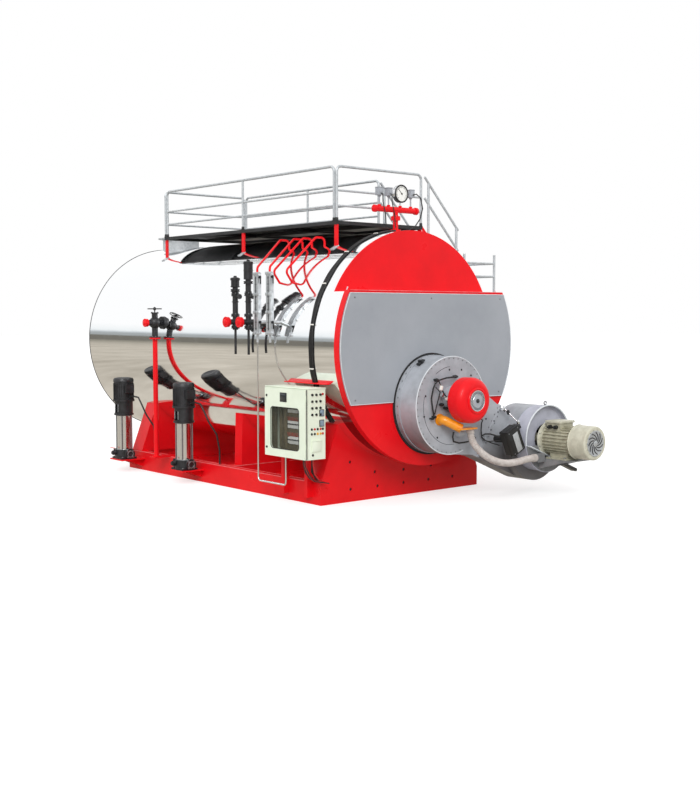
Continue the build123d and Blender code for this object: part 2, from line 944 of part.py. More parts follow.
rail_x = deck_half_width - rail_radius
rail_front = deck_front + rail_radius
rail_back = deck_rear - rail_radius
corner_gap = 3 * rail_radius
with BuildPart() as side_guard_rails:
    for side, front_gap in ((-1, corner_gap), (1, stair_opening)):
        ends = ((side * rail_x, rail_front + front_gap), (side * rail_x, rail_back - corner_gap))
        guard_side(*ends)
        middle_posts(*ends)
save(side_guard_rails, "side_guard_rails")

with BuildPart() as end_guard_rails:
    for y in (rail_front, rail_back):
        guard_side((-rail_x, y), (rail_x, y))
save(end_guard_rails, "end_guard_rails")

# Stair: a short flight from the walkway to a landing, then a long one along the shell to the ground
stair_front = deck_front
stair_rear = deck_front + stair_opening
landing_front = stair_front
landing_rear = stair_rear
stair_slope = (deck_top - landing_top - string_rise) / (landing_left - deck_half_width)
lower_left = landing_left + post_inset + post_size + string_plate
lower_right = landing_right - deck_frame
lower_rise = landing_top / lower_stair_steps
lower_going = lower_stair_run / lower_stair_steps
lower_slope = landing_top / lower_stair_run
with BuildPart() as stair_strings:
    for y in (stair_front, stair_rear - string_plate):
        with BuildSketch(facing_front(y)):
            with BuildLine():
                Polyline(
                    (deck_half_width, deck_top),
                    (landing_left, landing_top + string_rise),
                    (landing_left, landing_top - deck_frame),
                    (landing_left - string_heel, landing_top - deck_frame),
                    (deck_half_width, deck_top - string_drop),
                    close=True,
                )
            make_face()
        extrude(amount=-string_plate)
    for x in (lower_left, lower_right - string_plate):
        with BuildSketch(Plane.YZ.offset(x)):
            with BuildLine():
                Polyline(
                    (landing_rear, landing_top),
                    (landing_rear + lower_stair_run, 0),
                    (landing_rear + lower_stair_run - string_drop, 0),
                    (landing_rear, landing_top - string_drop * lower_slope),
                    close=True,
                )
            make_face()
        extrude(amount=string_plate)
save(stair_strings, "stair_strings")

with BuildPart() as stair_treads:
    for step in range(1, upper_stair_steps + 1):
        level = deck_top - step * stair_rise
        middle = deck_half_width + (step * stair_rise + tread_thickness) / stair_slope
        with Locations((middle, (stair_front + stair_rear) / 2, level)):
            Box(tread_depth, stair_opening - 2 * string_plate, tread_thickness,
                align=(Align.CENTER, Align.CENTER, Align.MAX))
    for step in range(1, lower_stair_steps):
        place = landing_rear + (step - 1) * lower_going
        with Locations(((lower_left + lower_right) / 2, place, landing_top - step * lower_rise)):
            Box(lower_right - lower_left - 2 * string_plate, lower_tread_depth, tread_thickness,
                align=(Align.CENTER, Align.MIN, Align.MAX))
save(stair_treads, "stair_treads")

post_drop = string_drop / 2
with BuildPart() as stair_hand_rails:
    for y in (stair_front - rail_radius - seat_gap, stair_rear + rail_radius + seat_gap):
        for height in stair_rail_heights:
            high = Vector(deck_half_width + rail_radius, y, deck_top + height)
            bar(high, high + Vector(upper_rail_run, 0, -upper_rail_run * stair_slope), middle_post_radius)
        for x in (deck_half_width + post_size, deck_half_width + upper_rail_run - rail_radius):
            string_top = deck_top - (x - deck_half_width) * stair_slope
            rail_top = string_top + max(stair_rail_heights) + rail_radius * stair_slope
            bar((x, y, string_top - post_drop), (x, y, rail_top), rail_radius)
    for x in (lower_left - rail_radius - seat_gap, lower_right + rail_radius + seat_gap):
        high = Vector(x, landing_rear + post_size, landing_top + min(stair_rail_heights))
        lower_run = Vector(0, lower_rail_run, -lower_rail_run * lower_slope)
        bar(high, high + lower_run, middle_post_radius)
        for share in lower_post_shares:
            top = high + lower_run * share
            string_top = landing_top - (top.Y - landing_rear) * lower_slope
            bar((x, top.Y, string_top - post_drop), (x, top.Y, top.Z), rail_radius)
save(stair_hand_rails, "stair_hand_rails")

landing_middle = ((landing_left + landing_right) / 2, (landing_front + landing_rear) / 2)
with BuildPart() as landing_floor:
    with Locations((*landing_middle, landing_top)):
        Box(landing_width, stair_opening, deck_frame, align=(Align.CENTER, Align.CENTER, Align.MAX))
    with Locations((*landing_middle, landing_top - deck_frame)):
        Box(landing_width - 2 * deck_frame, stair_opening - 2 * deck_frame,
            deck_frame - deck_sheet, align=(Align.CENTER, Align.CENTER, Align.MIN), mode=Mode.SUBTRACT)
save(landing_floor, "landing_floor")

guard_y = landing_front + rail_radius
guard_x = landing_right - guard_inset
guard_left = landing_left + guard_inset
with BuildPart() as landing_guard:
    for rail in guard_rails:
        level = landing_top + rail
        bar((guard_left, guard_y, level), (guard_x, guard_y, level), mid_rail_radius)
        bar((guard_x, guard_y, level), (guard_x, landing_rear - rail_radius, level), mid_rail_radius)
    for place in ((guard_left, guard_y), (guard_x, guard_y), (guard_x, landing_rear - rail_radius)):
        bar((*place, landing_top), (*place, landing_top + guard_height), rail_radius)
save(landing_guard, "landing_guard")

post_x = landing_left + post_inset + post_size / 2
brace_top = landing_top - deck_frame
with BuildPart() as landing_posts:
    for y in (landing_front + post_size, landing_rear - post_size):
        with Locations((post_x, y, 0)):
            Box(post_size, post_size, brace_top, align=(Align.CENTER, Align.CENTER, Align.MIN))
            Box(2 * post_size, 2 * post_size, bracket_plate, align=(Align.CENTER, Align.CENTER, Align.MIN))
        with BuildSketch(facing_front(y - post_size / 4)):
            with BuildLine():
                Polyline(
                    (post_x, brace_top - brace_drop),
                    (landing_right - post_size, brace_top),
                    (landing_right - 2 * post_size, brace_top),
                    (post_x, brace_top - brace_drop + brace_width),
                    close=True,
                )
            make_face()
        extrude(amount=-post_size / 2)
save(landing_posts, "landing_posts")

# Brackets welded to the left beam for the feed pumps and the feed pipe
with BuildPart() as equipment_brackets:
    with Locations((feed_x - pipe_bracket_reach, feed_y, beam_height)):
        Box(-base_half_width + beam_flange - feed_x + pipe_bracket_reach, pipe_bracket_width, bracket_plate,
            align=(Align.MIN, Align.CENTER, Align.MIN))
    for x, y in pump_places:
        reach = -base_half_width - x + bracket_overhang
        with Locations((-base_half_width, y, pump_foot)):
            Box(reach, bracket_width, bracket_thickness, align=(Align.MAX, Align.CENTER, Align.MAX))
        for side in (-1, 1):
            with BuildSketch(facing_front(y + side * bracket_width / 4)):
                with BuildLine():
                    Polyline(
                        (-base_half_width, pump_foot - bracket_thickness),
                        (-base_half_width - reach * 3 / 4, pump_foot - bracket_thickness),
                        (-base_half_width, pump_foot - reach / 3),
                        close=True,
                    )
                make_face()
            extrude(amount=bracket_thickness / 2, both=True)
save(equipment_brackets, "equipment_brackets")

# Feed pumps: vertical multistage pumps, base and motor stool cast, bright sleeve between them
sleeve_foot = pump_foot + pump_base_height
stool_foot = sleeve_foot + pump_sleeve_length
motor_foot = stool_foot + pump_stool_height
head_radius = pump_sleeve_radius + pump_head_overhang
on_foot = (Align.CENTER, Align.CENTER, Align.MIN)
with BuildPart() as feed_pump_castings:
    for x, y in pump_places:
        with Locations((x, y, stool_foot)):
            Cylinder(head_radius, pump_stool_height, align=on_foot)
        with Locations((x, y, stool_foot + pump_stool_height / 2)):
            Box(2 * head_radius, stool_window_width, stool_window_height, mode=Mode.SUBTRACT)
            Cylinder(coupling_radius, pump_stool_height)
        with Locations((x, y, pump_foot)):
            Box(pump_foot_width, pump_foot_length, pump_foot_thickness, align=on_foot)
            Cylinder(head_radius, pump_base_height, align=on_foot)
        for side in (-1, 1):
            with BuildSketch(facing_front(y + side * pump_port_reach)):
                with Locations((x, pump_foot + pump_port_radius)):
                    Circle(pump_port_radius)
            extrude(amount=side * pump_port_flange)
        with BuildSketch(facing_front(y - pump_port_reach)):
            with Locations((x, pump_foot + pump_port_radius)):
                Circle(pump_port_pipe)
        extrude(amount=-2 * pump_port_reach)
save(feed_pump_castings, "feed_pump_castings")

with BuildPart() as feed_pump_sleeves:
    for x, y in pump_places:
        with Locations((x, y, sleeve_foot)):
            Cylinder(pump_sleeve_radius, pump_sleeve_length, align=on_foot)
save(feed_pump_sleeves, "feed_pump_sleeves")

with BuildPart() as feed_pump_stays:
    for x, y in pump_places:
        with Locations((x, y, sleeve_foot)):
            stay_circle = pump_sleeve_radius + pump_stay_radius + pump_stay_gap
            with PolarLocations(stay_circle, pump_stay_count, start_angle=pump_stay_angle):
                Cylinder(pump_stay_radius, pump_sleeve_length, align=on_foot)
save(feed_pump_stays, "feed_pump_stays")

with BuildPart() as feed_pump_motors:
    for x, y in pump_places:
        with Locations((x, y, motor_foot)):
            Cylinder(pump_motor_radius, pump_motor_length, align=on_foot)
    fillet(feed_pump_motors.edges().group_by(Axis.Z)[-1], pump_motor_round)
    for x, y in pump_places:
        with Locations((x, y, motor_foot + pump_box_rise)):
            Box(pump_box_width, pump_box_reach, pump_box_height, align=(Align.CENTER, Align.MAX, Align.MIN))
save(feed_pump_motors, "feed_pump_motors")

# Feed line: standing pipe, angle valve and its handwheel
pipe_foot = beam_height + bracket_plate
feed_wall_x = -shell_half_width(feed_valve_height)
bonnet_top = wheel_height - valve_bonnet_drop
bonnet_foot = bonnet_top - valve_bonnet_thickness
with BuildPart() as feed_pipe:
    bar((feed_x, feed_y, pipe_foot), (feed_x, feed_y, feed_flange_height), feed_pipe_radius)
    bar((feed_x, feed_y, pipe_foot), (feed_x, feed_y, pipe_foot + feed_foot_thickness), feed_foot_radius)
    bar((feed_x, feed_y, feed_flange_height - feed_flange_thickness), (feed_x, feed_y, feed_flange_height),
        feed_flange_radius)
save(feed_pipe, "feed_pipe")

with BuildPart() as feed_valve:
    bar((feed_x, feed_y, feed_flange_height), (feed_x, feed_y, feed_flange_height + feed_flange_thickness),
        feed_flange_radius)
    bar((feed_x, feed_y, feed_flange_height), (feed_x, feed_y, bonnet_top), valve_neck_radius)
    with Locations((feed_x, feed_y, feed_valve_height)):
        Sphere(valve_body_radius)
    bar((feed_x - valve_nozzle_reach, feed_y, feed_valve_height),
        (feed_wall_x + valve_sink, feed_y, feed_valve_height), valve_neck_radius)
    bar((feed_wall_x - valve_wall_flange_reach, feed_y, feed_valve_height),
        (feed_wall_x + valve_sink, feed_y, feed_valve_height), valve_wall_flange)
    bar((feed_x, feed_y, bonnet_foot), (feed_x, feed_y, bonnet_top), valve_bonnet_radius)
    bar((feed_x, feed_y, bonnet_foot), (feed_x, feed_y, wheel_height + stem_top), stem_radius)
    trim_to_shell()
save(feed_valve, "feed_valve")

with BuildPart() as feed_handwheel:
    with BuildSketch(Plane(origin=(feed_x, feed_y, wheel_height), z_dir=(0, 1, 0), x_dir=(1, 0, 0))):
        with Locations((wheel_radius, 0)):
            Circle(wheel_rim)
    revolve(axis=Axis((feed_x, feed_y, wheel_height), (0, 0, 1)))
    with Locations((feed_x, feed_y, wheel_height)):
        Box(2 * wheel_radius, wheel_spoke_width, wheel_spoke_thickness)
        Box(wheel_spoke_width, 2 * wheel_radius, wheel_spoke_thickness)
        Cylinder(wheel_hub_radius, wheel_hub_length)
        Cylinder(stem_radius + seat_gap, 2 * wheel_hub_length, mode=Mode.SUBTRACT)
save(feed_handwheel, "feed_handwheel")

# Level columns with their nozzles, and level gauges
level_wall_x = -shell_half_width(level_nozzle_height) + valve_sink
column_foot = level_nozzle_height - column_drop
column_flange = level_nozzle_height + column_flange_rise
with BuildPart() as level_columns:
    for y, rise, cap, length in zip(column_places, column_rises, column_cap_radii, column_cap_lengths):
        top = level_nozzle_height + rise
        bar((level_x, y, column_foot), (level_x, y, top), column_radius)
        bar((level_x, y, column_foot - drain_length), (level_x, y, column_foot), drain_radius)
        bar((level_x, y, top - length), (level_x, y, top), cap)
        bar((level_x, y, column_flange), (level_x, y, column_flange + column_flange_thickness),
            column_flange_radius)
        bar((level_x - column_nozzle_reach, y, level_nozzle_height), (level_wall_x, y, level_nozzle_height),
            column_radius)
    trim_to_shell()
save(level_columns, "level_columns")

feed_cap_face = feed_x - valve_nozzle_reach
column_cap_face = level_x - column_nozzle_reach
with BuildPart() as blank_caps:
    bar((feed_cap_face, feed_y, feed_valve_height), (feed_cap_face - cap_length, feed_y, feed_valve_height),
        valve_bonnet_radius)
    for y in column_places:
        bar((column_cap_face, y, level_nozzle_height), (column_cap_face - cap_length, y, level_nozzle_height),
            cap_radius)
save(blank_caps, "blank_caps")

with BuildPart() as level_gauges:
    for y in gauge_places:
        with Locations((level_x, y, gauge_bottom)):
            Box(gauge_thickness, gauge_width, gauge_top - gauge_bottom, align=on_foot)
        bar((level_x, y, level_nozzle_height), (level_wall_x, y, level_nozzle_height), gauge_cock_radius)
        bar((level_x, y, gauge_bottom - gauge_drain_length), (level_x, y, gauge_bottom), gauge_drain_radius)
    trim_to_shell()
save(level_gauges, "level_gauges")

# Conduit from the rear gauge down the side, along the skid and up to the cabinet's floor
with BuildPart() as gauge_conduit:
    conduit_top = Vector(level_x, gauge_places[0], gauge_bottom - gauge_drain_length)
    conduit_corner = Vector(level_x, gauge_places[0], gauge_conduit_level)
    conduit_turn = conduit_corner - Vector(0, gauge_conduit_run, 0)
    conduit_end = Vector(level_x, conduit_turn.Y, cabinet_bottom)
    conduit_route = (conduit_top, conduit_corner, conduit_turn, conduit_end)
    bent_tube(conduit_route, gauge_conduit_bend, gauge_conduit_radius)
save(gauge_conduit, "gauge_conduit")

# Impulse pipes: two from the crown over to the gauges, two that bend back under to the shell
impulse_level = crown_height - impulse_top
tap_foot = crown_height - impulse_tap_depth
with BuildPart() as impulse_pipes:
    for y, end_y in zip(column_places, gauge_places):
        bent_tube(
            (
                (-impulse_tap_side, y, tap_foot),
                (-impulse_tap_side, y, impulse_level),
                (-impulse_tap_side - impulse_shoulder, y, impulse_level),
                (level_x, end_y, gauge_top + impulse_gauge_stub),
                (level_x, end_y, gauge_top),
            ),
            impulse_bend, impulse_radius,
        )
    for y in gauge_places:
        bent_tube(
            (
                (-impulse_tap_side, y, tap_foot),
                (-impulse_tap_side, y, impulse_level),
                (-impulse_tap_side - impulse_shoulder, y, impulse_level),
                (-impulse_low_side, y + impulse_lean, crown_height - impulse_low_drop),
                (-impulse_end_side, y + impulse_lean, crown_height - impulse_end_drop),
            ),
            impulse_bend, impulse_radius,
        )
    trim_to_shell()
    add(impulse_pipes.part.solids().sort_by(SortBy.VOLUME)[-2 * len(gauge_places):], mode=Mode.REPLACE)
save(impulse_pipes, "impulse_pipes")

# Cable bundle clipped round the cladding down to the front saddle
with BuildPart() as cable_bundle:
    with BuildSketch(facing_front(bundle_y - bundle_width / 2)):
        with Locations((0, axis_height)):
            Circle(shell_radius + seat_gap + bundle_height)
            Circle(shell_radius + seat_gap, mode=Mode.SUBTRACT)
        with Locations((-bundle_inset, axis_height - bundle_low)):
            Rectangle(2 * shell_radius, bundle_low + bundle_high, align=(Align.MAX, Align.MIN),
                      mode=Mode.INTERSECT)
    extrude(amount=-bundle_width)
save(cable_bundle, "cable_bundle")

# Control cabinet: open box, hinged glazed door, inner plate, stand
cabinet_right = cabinet_left + cabinet_depth
cabinet_rear = cabinet_front + cabinet_width
cabinet_top = cabinet_bottom + cabinet_height
cabinet_mid_y = (cabinet_front + cabinet_rear) / 2
cabinet_mid_z = (cabinet_bottom + cabinet_top) / 2
door_inner = cabinet_left - door_gap
door_outer = door_inner - cabinet_door_thickness
hinge_x = (door_inner + door_outer) / 2
hinge_y = cabinet_front - hinge_reach
hinge_heights = (cabinet_bottom + hinge_low, cabinet_top - hinge_high)

with BuildPart() as cabinet_shell:
    with Locations((cabinet_left, cabinet_mid_y, cabinet_mid_z)):
        Box(cabinet_depth, cabinet_width, cabinet_height, align=(Align.MIN, Align.CENTER, Align.CENTER))
        Box(cabinet_depth - cabinet_wall, cabinet_width - 2 * cabinet_wall, cabinet_height - 2 * cabinet_wall,
            align=(Align.MIN, Align.CENTER, Align.CENTER), mode=Mode.SUBTRACT)
    for z in hinge_heights:
        with Locations((hinge_x, cabinet_front, z)):
            Box(cabinet_left - hinge_x + hinge_leaf, hinge_radius - door_margin, hinge_length,
                align=(Align.MIN, Align.MAX, Align.MIN))
        with Locations((hinge_x, hinge_y, z)):
            Cylinder(hinge_radius, hinge_length, align=on_foot)
save(cabinet_shell, "cabinet_shell")

window_z = cabinet_mid_z - window_drop
with BuildPart() as cabinet_door:
    with BuildSketch(Plane.YZ.offset(door_outer)):
        with Locations((cabinet_mid_y, cabinet_mid_z)):
            RectangleRounded(
                cabinet_width - 2 * door_margin, cabinet_height - 2 * door_margin, cabinet_door_round
            )
        with Locations((cabinet_mid_y, window_z)):
            RectangleRounded(window_width, window_height, window_round, mode=Mode.SUBTRACT)
    extrude(amount=cabinet_door_thickness)
    with BuildSketch(Plane.YZ.offset(door_inner)):
        with Locations((cabinet_mid_y, window_z)):
            RectangleRounded(window_width + 2 * rebate, window_height + 2 * rebate, window_round + rebate)
    extrude(amount=-glass_thickness, mode=Mode.SUBTRACT)
    for z in hinge_heights:
        with Locations((hinge_x, hinge_y, z + hinge_length + seat_gap)):
            Cylinder(hinge_radius, hinge_length, align=on_foot)
            Box(cabinet_door_thickness / 2, hinge_reach + 2 * door_margin, hinge_length,
                align=(Align.CENTER, Align.MIN, Align.MIN))
save(cabinet_door, "cabinet_door")

glass_edge = rebate - glass_gap
with BuildPart() as cabinet_window:
    with BuildSketch(Plane.YZ.offset(door_inner)):
        with Locations((cabinet_mid_y, window_z)):
            RectangleRounded(
                window_width + 2 * glass_edge, window_height + 2 * glass_edge, window_round + glass_edge
            )
    extrude(amount=-glass_thickness)
save(cabinet_window, "cabinet_window")

plate_x = cabinet_right - cabinet_wall - gear_plate_inset
with BuildPart() as cabinet_internals:
    with Locations((plate_x, cabinet_mid_y, cabinet_mid_z)):
        Box(gear_plate_thickness, cabinet_width - gear_margin, cabinet_height - gear_margin)
        with GridLocations(0, cabinet_width - 2 * gear_margin, 1, 2):
            for stud_z in (gear_margin - cabinet_height / 2, cabinet_height / 2 - gear_margin):
                with Locations((0, 0, stud_z)):
                    Box(gear_plate_inset, gear_stud, gear_stud, align=(Align.MIN, Align.CENTER, Align.CENTER))
    for row in range(gear_rows):
        with Locations((plate_x, cabinet_mid_y, cabinet_mid_z - gear_row_drop + row * gear_row_pitch)):
            Box(gear_depth, gear_length, gear_height, align=(Align.MAX, Align.CENTER, Align.CENTER))
save(cabinet_internals, "cabinet_internals")

with BuildPart() as cabinet_controls:
    for row in range(control_rows):
        for column in range(control_columns):
            start = Vector(
                cabinet_left + control_inset + column * control_column_pitch,
                cabinet_front,
                cabinet_top - control_drop - row * control_row_pitch,
            )
            bar(start, start - Vector(0, control_length, 0), control_radius)
save(cabinet_controls, "cabinet_controls")

stand_post_places = (front_saddle_rear - stand_front_inset, cabinet_rear + stand_rear_reach)
with BuildPart() as cabinet_stand:
    for y in stand_post_places:
        with Locations((cabinet_right, y, stand_post_foot)):
            Box(-base_half_width - cabinet_right, stand_post_width, cabinet_bottom + stand_rise,
                align=(Align.MIN, Align.CENTER, Align.MIN))
    for rise in stand_rail_rises:
        with Locations((cabinet_right, stand_post_places[0], cabinet_bottom + rise)):
            Box(stand_rail_thickness, stand_post_places[1] - stand_post_places[0], stand_post_width,
                align=(Align.MIN, Align.MIN, Align.CENTER))
save(cabinet_stand, "cabinet_stand")

# Instruments on the crown: red manifold with a dial gauge and switches
manifold_foot = crown_height - manifold_sink
manifold_joint = crown_height + manifold_joint_rise
fitting_foot = manifold_height + manifold_radius + seat_gap
with BuildPart() as instrument_manifold:
    bar((0, manifold_y, manifold_foot), (0, manifold_y, manifold_height), manifold_post_radius)
    bar((0, manifold_y, manifold_foot), (0, manifold_y, crown_height + manifold_foot_height),
        manifold_foot_radius)
    bar((0, manifold_y, manifold_joint), (0, manifold_y, manifold_joint + manifold_joint_height),
        manifold_joint_radius)
    bar((-manifold_half_length, manifold_y, manifold_height),
        (manifold_half_length, manifold_y, manifold_height), manifold_radius)
    trim_to_shell()
save(instrument_manifold, "instrument_manifold")

with BuildPart() as pressure_gauge:
    bar((dial_x, manifold_y, fitting_foot), (dial_x, manifold_y, dial_height), dial_stem_radius)
    with BuildSketch(facing_front(manifold_y + dial_depth / 2)):
        with Locations((dial_x, dial_height)):
            Circle(dial_radius)
    extrude(amount=dial_depth)
save(pressure_gauge, "pressure_gauge")

with BuildPart() as pressure_switches:
    for x in switch_places:
        bar((x, manifold_y, fitting_foot), (x, manifold_y, switch_level), switch_stem_radius)
        with Locations((x, manifold_y, switch_level)):
            Box(switch_width, switch_depth, switch_height, align=on_foot)
save(pressure_switches, "pressure_switches")
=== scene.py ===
import bmesh
import bpy
from bisect import bisect
from math import atan2, cos, degrees, pi, radians, sin, sqrt
from mathutils import Matrix, Vector


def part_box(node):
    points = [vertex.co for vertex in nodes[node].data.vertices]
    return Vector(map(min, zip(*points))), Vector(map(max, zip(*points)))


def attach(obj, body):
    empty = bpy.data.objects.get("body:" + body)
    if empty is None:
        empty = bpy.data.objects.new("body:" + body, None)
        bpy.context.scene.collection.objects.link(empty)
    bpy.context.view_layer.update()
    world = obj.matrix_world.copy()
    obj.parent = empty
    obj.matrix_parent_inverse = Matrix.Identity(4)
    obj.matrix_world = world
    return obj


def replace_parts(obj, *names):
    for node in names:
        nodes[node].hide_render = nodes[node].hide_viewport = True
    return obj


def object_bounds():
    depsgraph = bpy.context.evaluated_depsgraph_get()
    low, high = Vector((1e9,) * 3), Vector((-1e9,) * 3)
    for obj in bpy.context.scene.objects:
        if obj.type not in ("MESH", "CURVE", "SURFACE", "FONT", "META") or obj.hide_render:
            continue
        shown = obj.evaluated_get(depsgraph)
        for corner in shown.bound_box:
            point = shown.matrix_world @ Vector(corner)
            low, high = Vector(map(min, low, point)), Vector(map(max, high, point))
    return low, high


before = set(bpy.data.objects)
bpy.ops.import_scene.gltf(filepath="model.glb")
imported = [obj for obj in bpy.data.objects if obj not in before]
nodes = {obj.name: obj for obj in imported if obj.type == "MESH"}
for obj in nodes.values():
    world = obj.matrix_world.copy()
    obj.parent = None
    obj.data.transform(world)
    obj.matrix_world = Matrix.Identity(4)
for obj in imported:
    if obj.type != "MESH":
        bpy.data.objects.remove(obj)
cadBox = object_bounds()
scene = bpy.context.scene
scene.view_settings.view_transform = "Standard"
print("frame loaded:", len(nodes), "CAD nodes")


def linear(hexColour):
    values = [int(hexColour[i:i + 2], 16) / 255 for i in (1, 3, 5)]
    return tuple(v / 12.92 if v <= 0.04045 else ((v + 0.055) / 1.055) ** 2.4 for v in values) + (1.0,)


def addNode(tree, kind, settings=None, links=None):
    node = tree.nodes.new(kind)
    for key, value in (settings or {}).items():
        if isinstance(key, int) or key in node.inputs:
            node.inputs[key].default_value = value
        else:
            setattr(node, key, value)
    for key, source in (links or {}).items():
        tree.links.new(source, node.inputs[key])
    return node


# Camera: standing off the boiler's front left corner, eye a little over two metres up
cameraView = {"place": (-8.917, -11.438, 2.080), "yaw": 40.30, "pitch": -4.31, "lens": 51.29}
camera = bpy.data.objects.new("camera", bpy.data.cameras.new("camera"))
scene.collection.objects.link(camera)
camera.location = cameraView["place"]
camera.rotation_euler = (radians(90 + cameraView["pitch"]), 0, -radians(cameraView["yaw"]))
camera.data.lens = cameraView["lens"]
camera.data.sensor_width = 36
camera.data.clip_end = 200
scene.camera = camera


def openNodes(material):
    tree = material.node_tree
    coordinates = tree.nodes.get("Texture Coordinate") or addNode(tree, "ShaderNodeTexCoord")
    return tree, tree.nodes["Principled BSDF"], coordinates.outputs["Object"]


def weathered(tree, shader, where, clean, soiled, cloudMm, share, roughLow, roughHigh):
    # soft clouds of dust and fading in the colour, and the same clouds in the gloss
    cloud = addNode(tree, "ShaderNodeTexNoise", {"Scale": 1000 / cloudMm, "Detail": 6.0, "Roughness": 0.6},
                    {"Vector": where}).outputs["Fac"]
    spread = addNode(tree, "ShaderNodeMapRange", {"From Min": 0.38, "From Max": 0.72, "To Max": share},
                     {"Value": cloud})
    tint = addNode(tree, "ShaderNodeMix", {"data_type": "RGBA", 6: linear(clean), 7: linear(soiled)},
                   {0: spread.outputs["Result"]})
    gloss = addNode(tree, "ShaderNodeMapRange", {
        "From Min": 0.3, "From Max": 0.7, "To Min": roughLow, "To Max": roughHigh}, {"Value": cloud})
    tree.links.new(tint.outputs[2], shader.inputs["Base Color"])
    tree.links.new(gloss.outputs["Result"], shader.inputs["Roughness"])


def grained(tree, shader, where, grainMm, depthMm, strength):
    # fine relief: orange peel, casting skin or hammer marks, by its real spacing
    grain = addNode(tree, "ShaderNodeTexNoise", {"Scale": 1000 / grainMm, "Detail": 3.0}, {"Vector": where})
    bump = addNode(tree, "ShaderNodeBump", {"Strength": strength, "Distance": depthMm / 1000},
                   {"Height": grain.outputs["Fac"]})
    tree.links.new(bump.outputs["Normal"], shader.inputs["Normal"])


def hazed(tree, shader, where, noise, low, high, roughLow, roughHigh):
    # gloss that changes with a noise, from one roughness to another
    film = addNode(tree, "ShaderNodeTexNoise", noise, {"Vector": where})
    gloss = addNode(tree, "ShaderNodeMapRange", {
        "From Min": low, "From Max": high, "To Min": roughLow, "To Max": roughHigh},
        {"Value": film.outputs["Fac"]})
    tree.links.new(gloss.outputs["Result"], shader.inputs["Roughness"])


def paintShade(tree, shader, level, clean, darkLevel, share, shadeColour):
    # painted shade over the colour that is there, growing as the level's Z goes from clean to darkLevel
    height = addNode(tree, "ShaderNodeSeparateXYZ", None, {"Vector": level}).outputs["Z"]
    spread = addNode(tree, "ShaderNodeMapRange", {"From Min": clean, "From Max": darkLevel, "To Max": share},
                     {"Value": height})
    colour = shader.inputs["Base Color"]
    mix = addNode(tree, "ShaderNodeMix", {"data_type": "RGBA", 6: colour.default_value[:], 7: linear(shadeColour)},
                  {0: spread.outputs["Result"]})
    if colour.links:
        tree.links.new(colour.links[0].from_socket, mix.inputs[6])
    tree.links.new(mix.outputs[2], colour)


def newFinish(name, slot, colour, roughness, clouds=None, grain=None, **sockets):
    # clouds: clean, soiled, mm across, share, roughness from and to; grain: mm apart, mm deep, strength
    material = bpy.data.materials.new(name)
    material.use_nodes = True
    tree, shader, where = openNodes(material)
    shader.inputs["Base Color"].default_value = linear(colour)
    shader.inputs["Roughness"].default_value = roughness
    for key, value in sockets.items():
        shader.inputs[key.replace("_", " ")].default_value = value
    if clouds:
        weathered(tree, shader, where, *clouds)
    if grain:
        grained(tree, shader, where, *grain)
    return material


# Gloss red enamel, sprayed on rolled plate: strong even red, a wet shine, faint orange peel and dust
redEnamel = newFinish("redEnamel", "red_paint", "#EA121C", 0.34,
                      ("#EE131D", "#D00E17", 420, 0.5, 0.26, 0.42), (14, 0.4, 0.10),
                      Specular_IOR_Level=0.2, Coat_Weight=0.06)
# Painted highlight: a pale copy of the red enamel along plate edges, standing in for the light they catch
redEdgeHighlight = newFinish("redEdgeHighlight", "red_paint", "#F0686C", 0.45, ("#F27B7E", "#E23A40", 60, 0.8, 0.38, 0.55))

# Mirror-polished stainless sheet: takes its colour from what it reflects, slightly wavy between its fixings
polishedStainless = newFinish("polishedStainless", "polished_cladding", "#F5F6F7", 0.045, Metallic=1.0)
tree, shader, where = openNodes(polishedStainless)
sheet = addNode(tree, "ShaderNodeTexNoise", {"Scale": 1000 / 900, "Detail": 2.0, "Roughness": 0.4},
                {"Vector": where})
sheetBump = addNode(tree, "ShaderNodeBump", {"Strength": 0.25, "Distance": 0.012},
                    {"Height": sheet.outputs["Fac"]})
tree.links.new(sheetBump.outputs["Normal"], shader.inputs["Normal"])
hazed(tree, shader, where, {"Scale": 1000 / 260, "Detail": 5.0}, 0.35, 0.75, 0.03, 0.11)

# The same sheet on the smokebox with painted shade low down: darker towards the bottom, standing in for the
# shadowed saddle reflected there
shadedStainless = polishedStainless.copy()
shadedStainless.name = "shadedStainless"
tree, shader, where = openNodes(shadedStainless)
paintShade(tree, shader, where, 1.15, 0.90, 1.0, "#7B6062")

# Bright drawn stainless: pump sleeves, gauge bodies and small tubes, with fine lines along the drawing
brightStainless = newFinish("brightStainless", "bright_steel", "#E6E7E9", 0.2, Metallic=1.0)
tree, shader, where = openNodes(brightStainless)
drawn = addNode(tree, "ShaderNodeMapping", {"Scale": (240.0, 240.0, 3.0)}, {"Vector": where})
hazed(tree, shader, drawn.outputs["Vector"], {"Scale": 1.0, "Detail": 4.0}, 0.3, 0.7, 0.13, 0.22)

# Satin grey powder coat on the door's panel: even cool grey with a fine dry grain
panelGrey = newFinish("panelGrey", "grey_panel_paint", "#9DA1A8", 0.5,
                      ("#A1A5AC", "#8F949C", 650, 0.6, 0.42, 0.58), (6, 0.15, 0.12))
# Painted highlight: a pale copy of the panel grey on rolled edges of painted sheet, standing in for the
# light they catch
paleEdgeHighlight = newFinish("paleEdgeHighlight", "grey_panel_paint", "#D2D7DC", 0.35,
                     ("#D9DEE2", "#BCC2C8", 60, 0.6, 0.28, 0.45))

# Stove-enamelled light grey burner casing: slightly warmer, with handling marks, and painted shade that
# darkens faces turned downward
burnerGrey = newFinish("burnerGrey", "burner_grey_paint", "#A9ACAE", 0.42,
                       ("#AEB2B9", "#8D9096", 180, 0.75, 0.34, 0.55), (5, 0.2, 0.18))
tree, shader, where = openNodes(burnerGrey)
facing = addNode(tree, "ShaderNodeNewGeometry").outputs["Normal"]
paintShade(tree, shader, facing, 0.0, -0.75, 0.8, "#4E4E50")
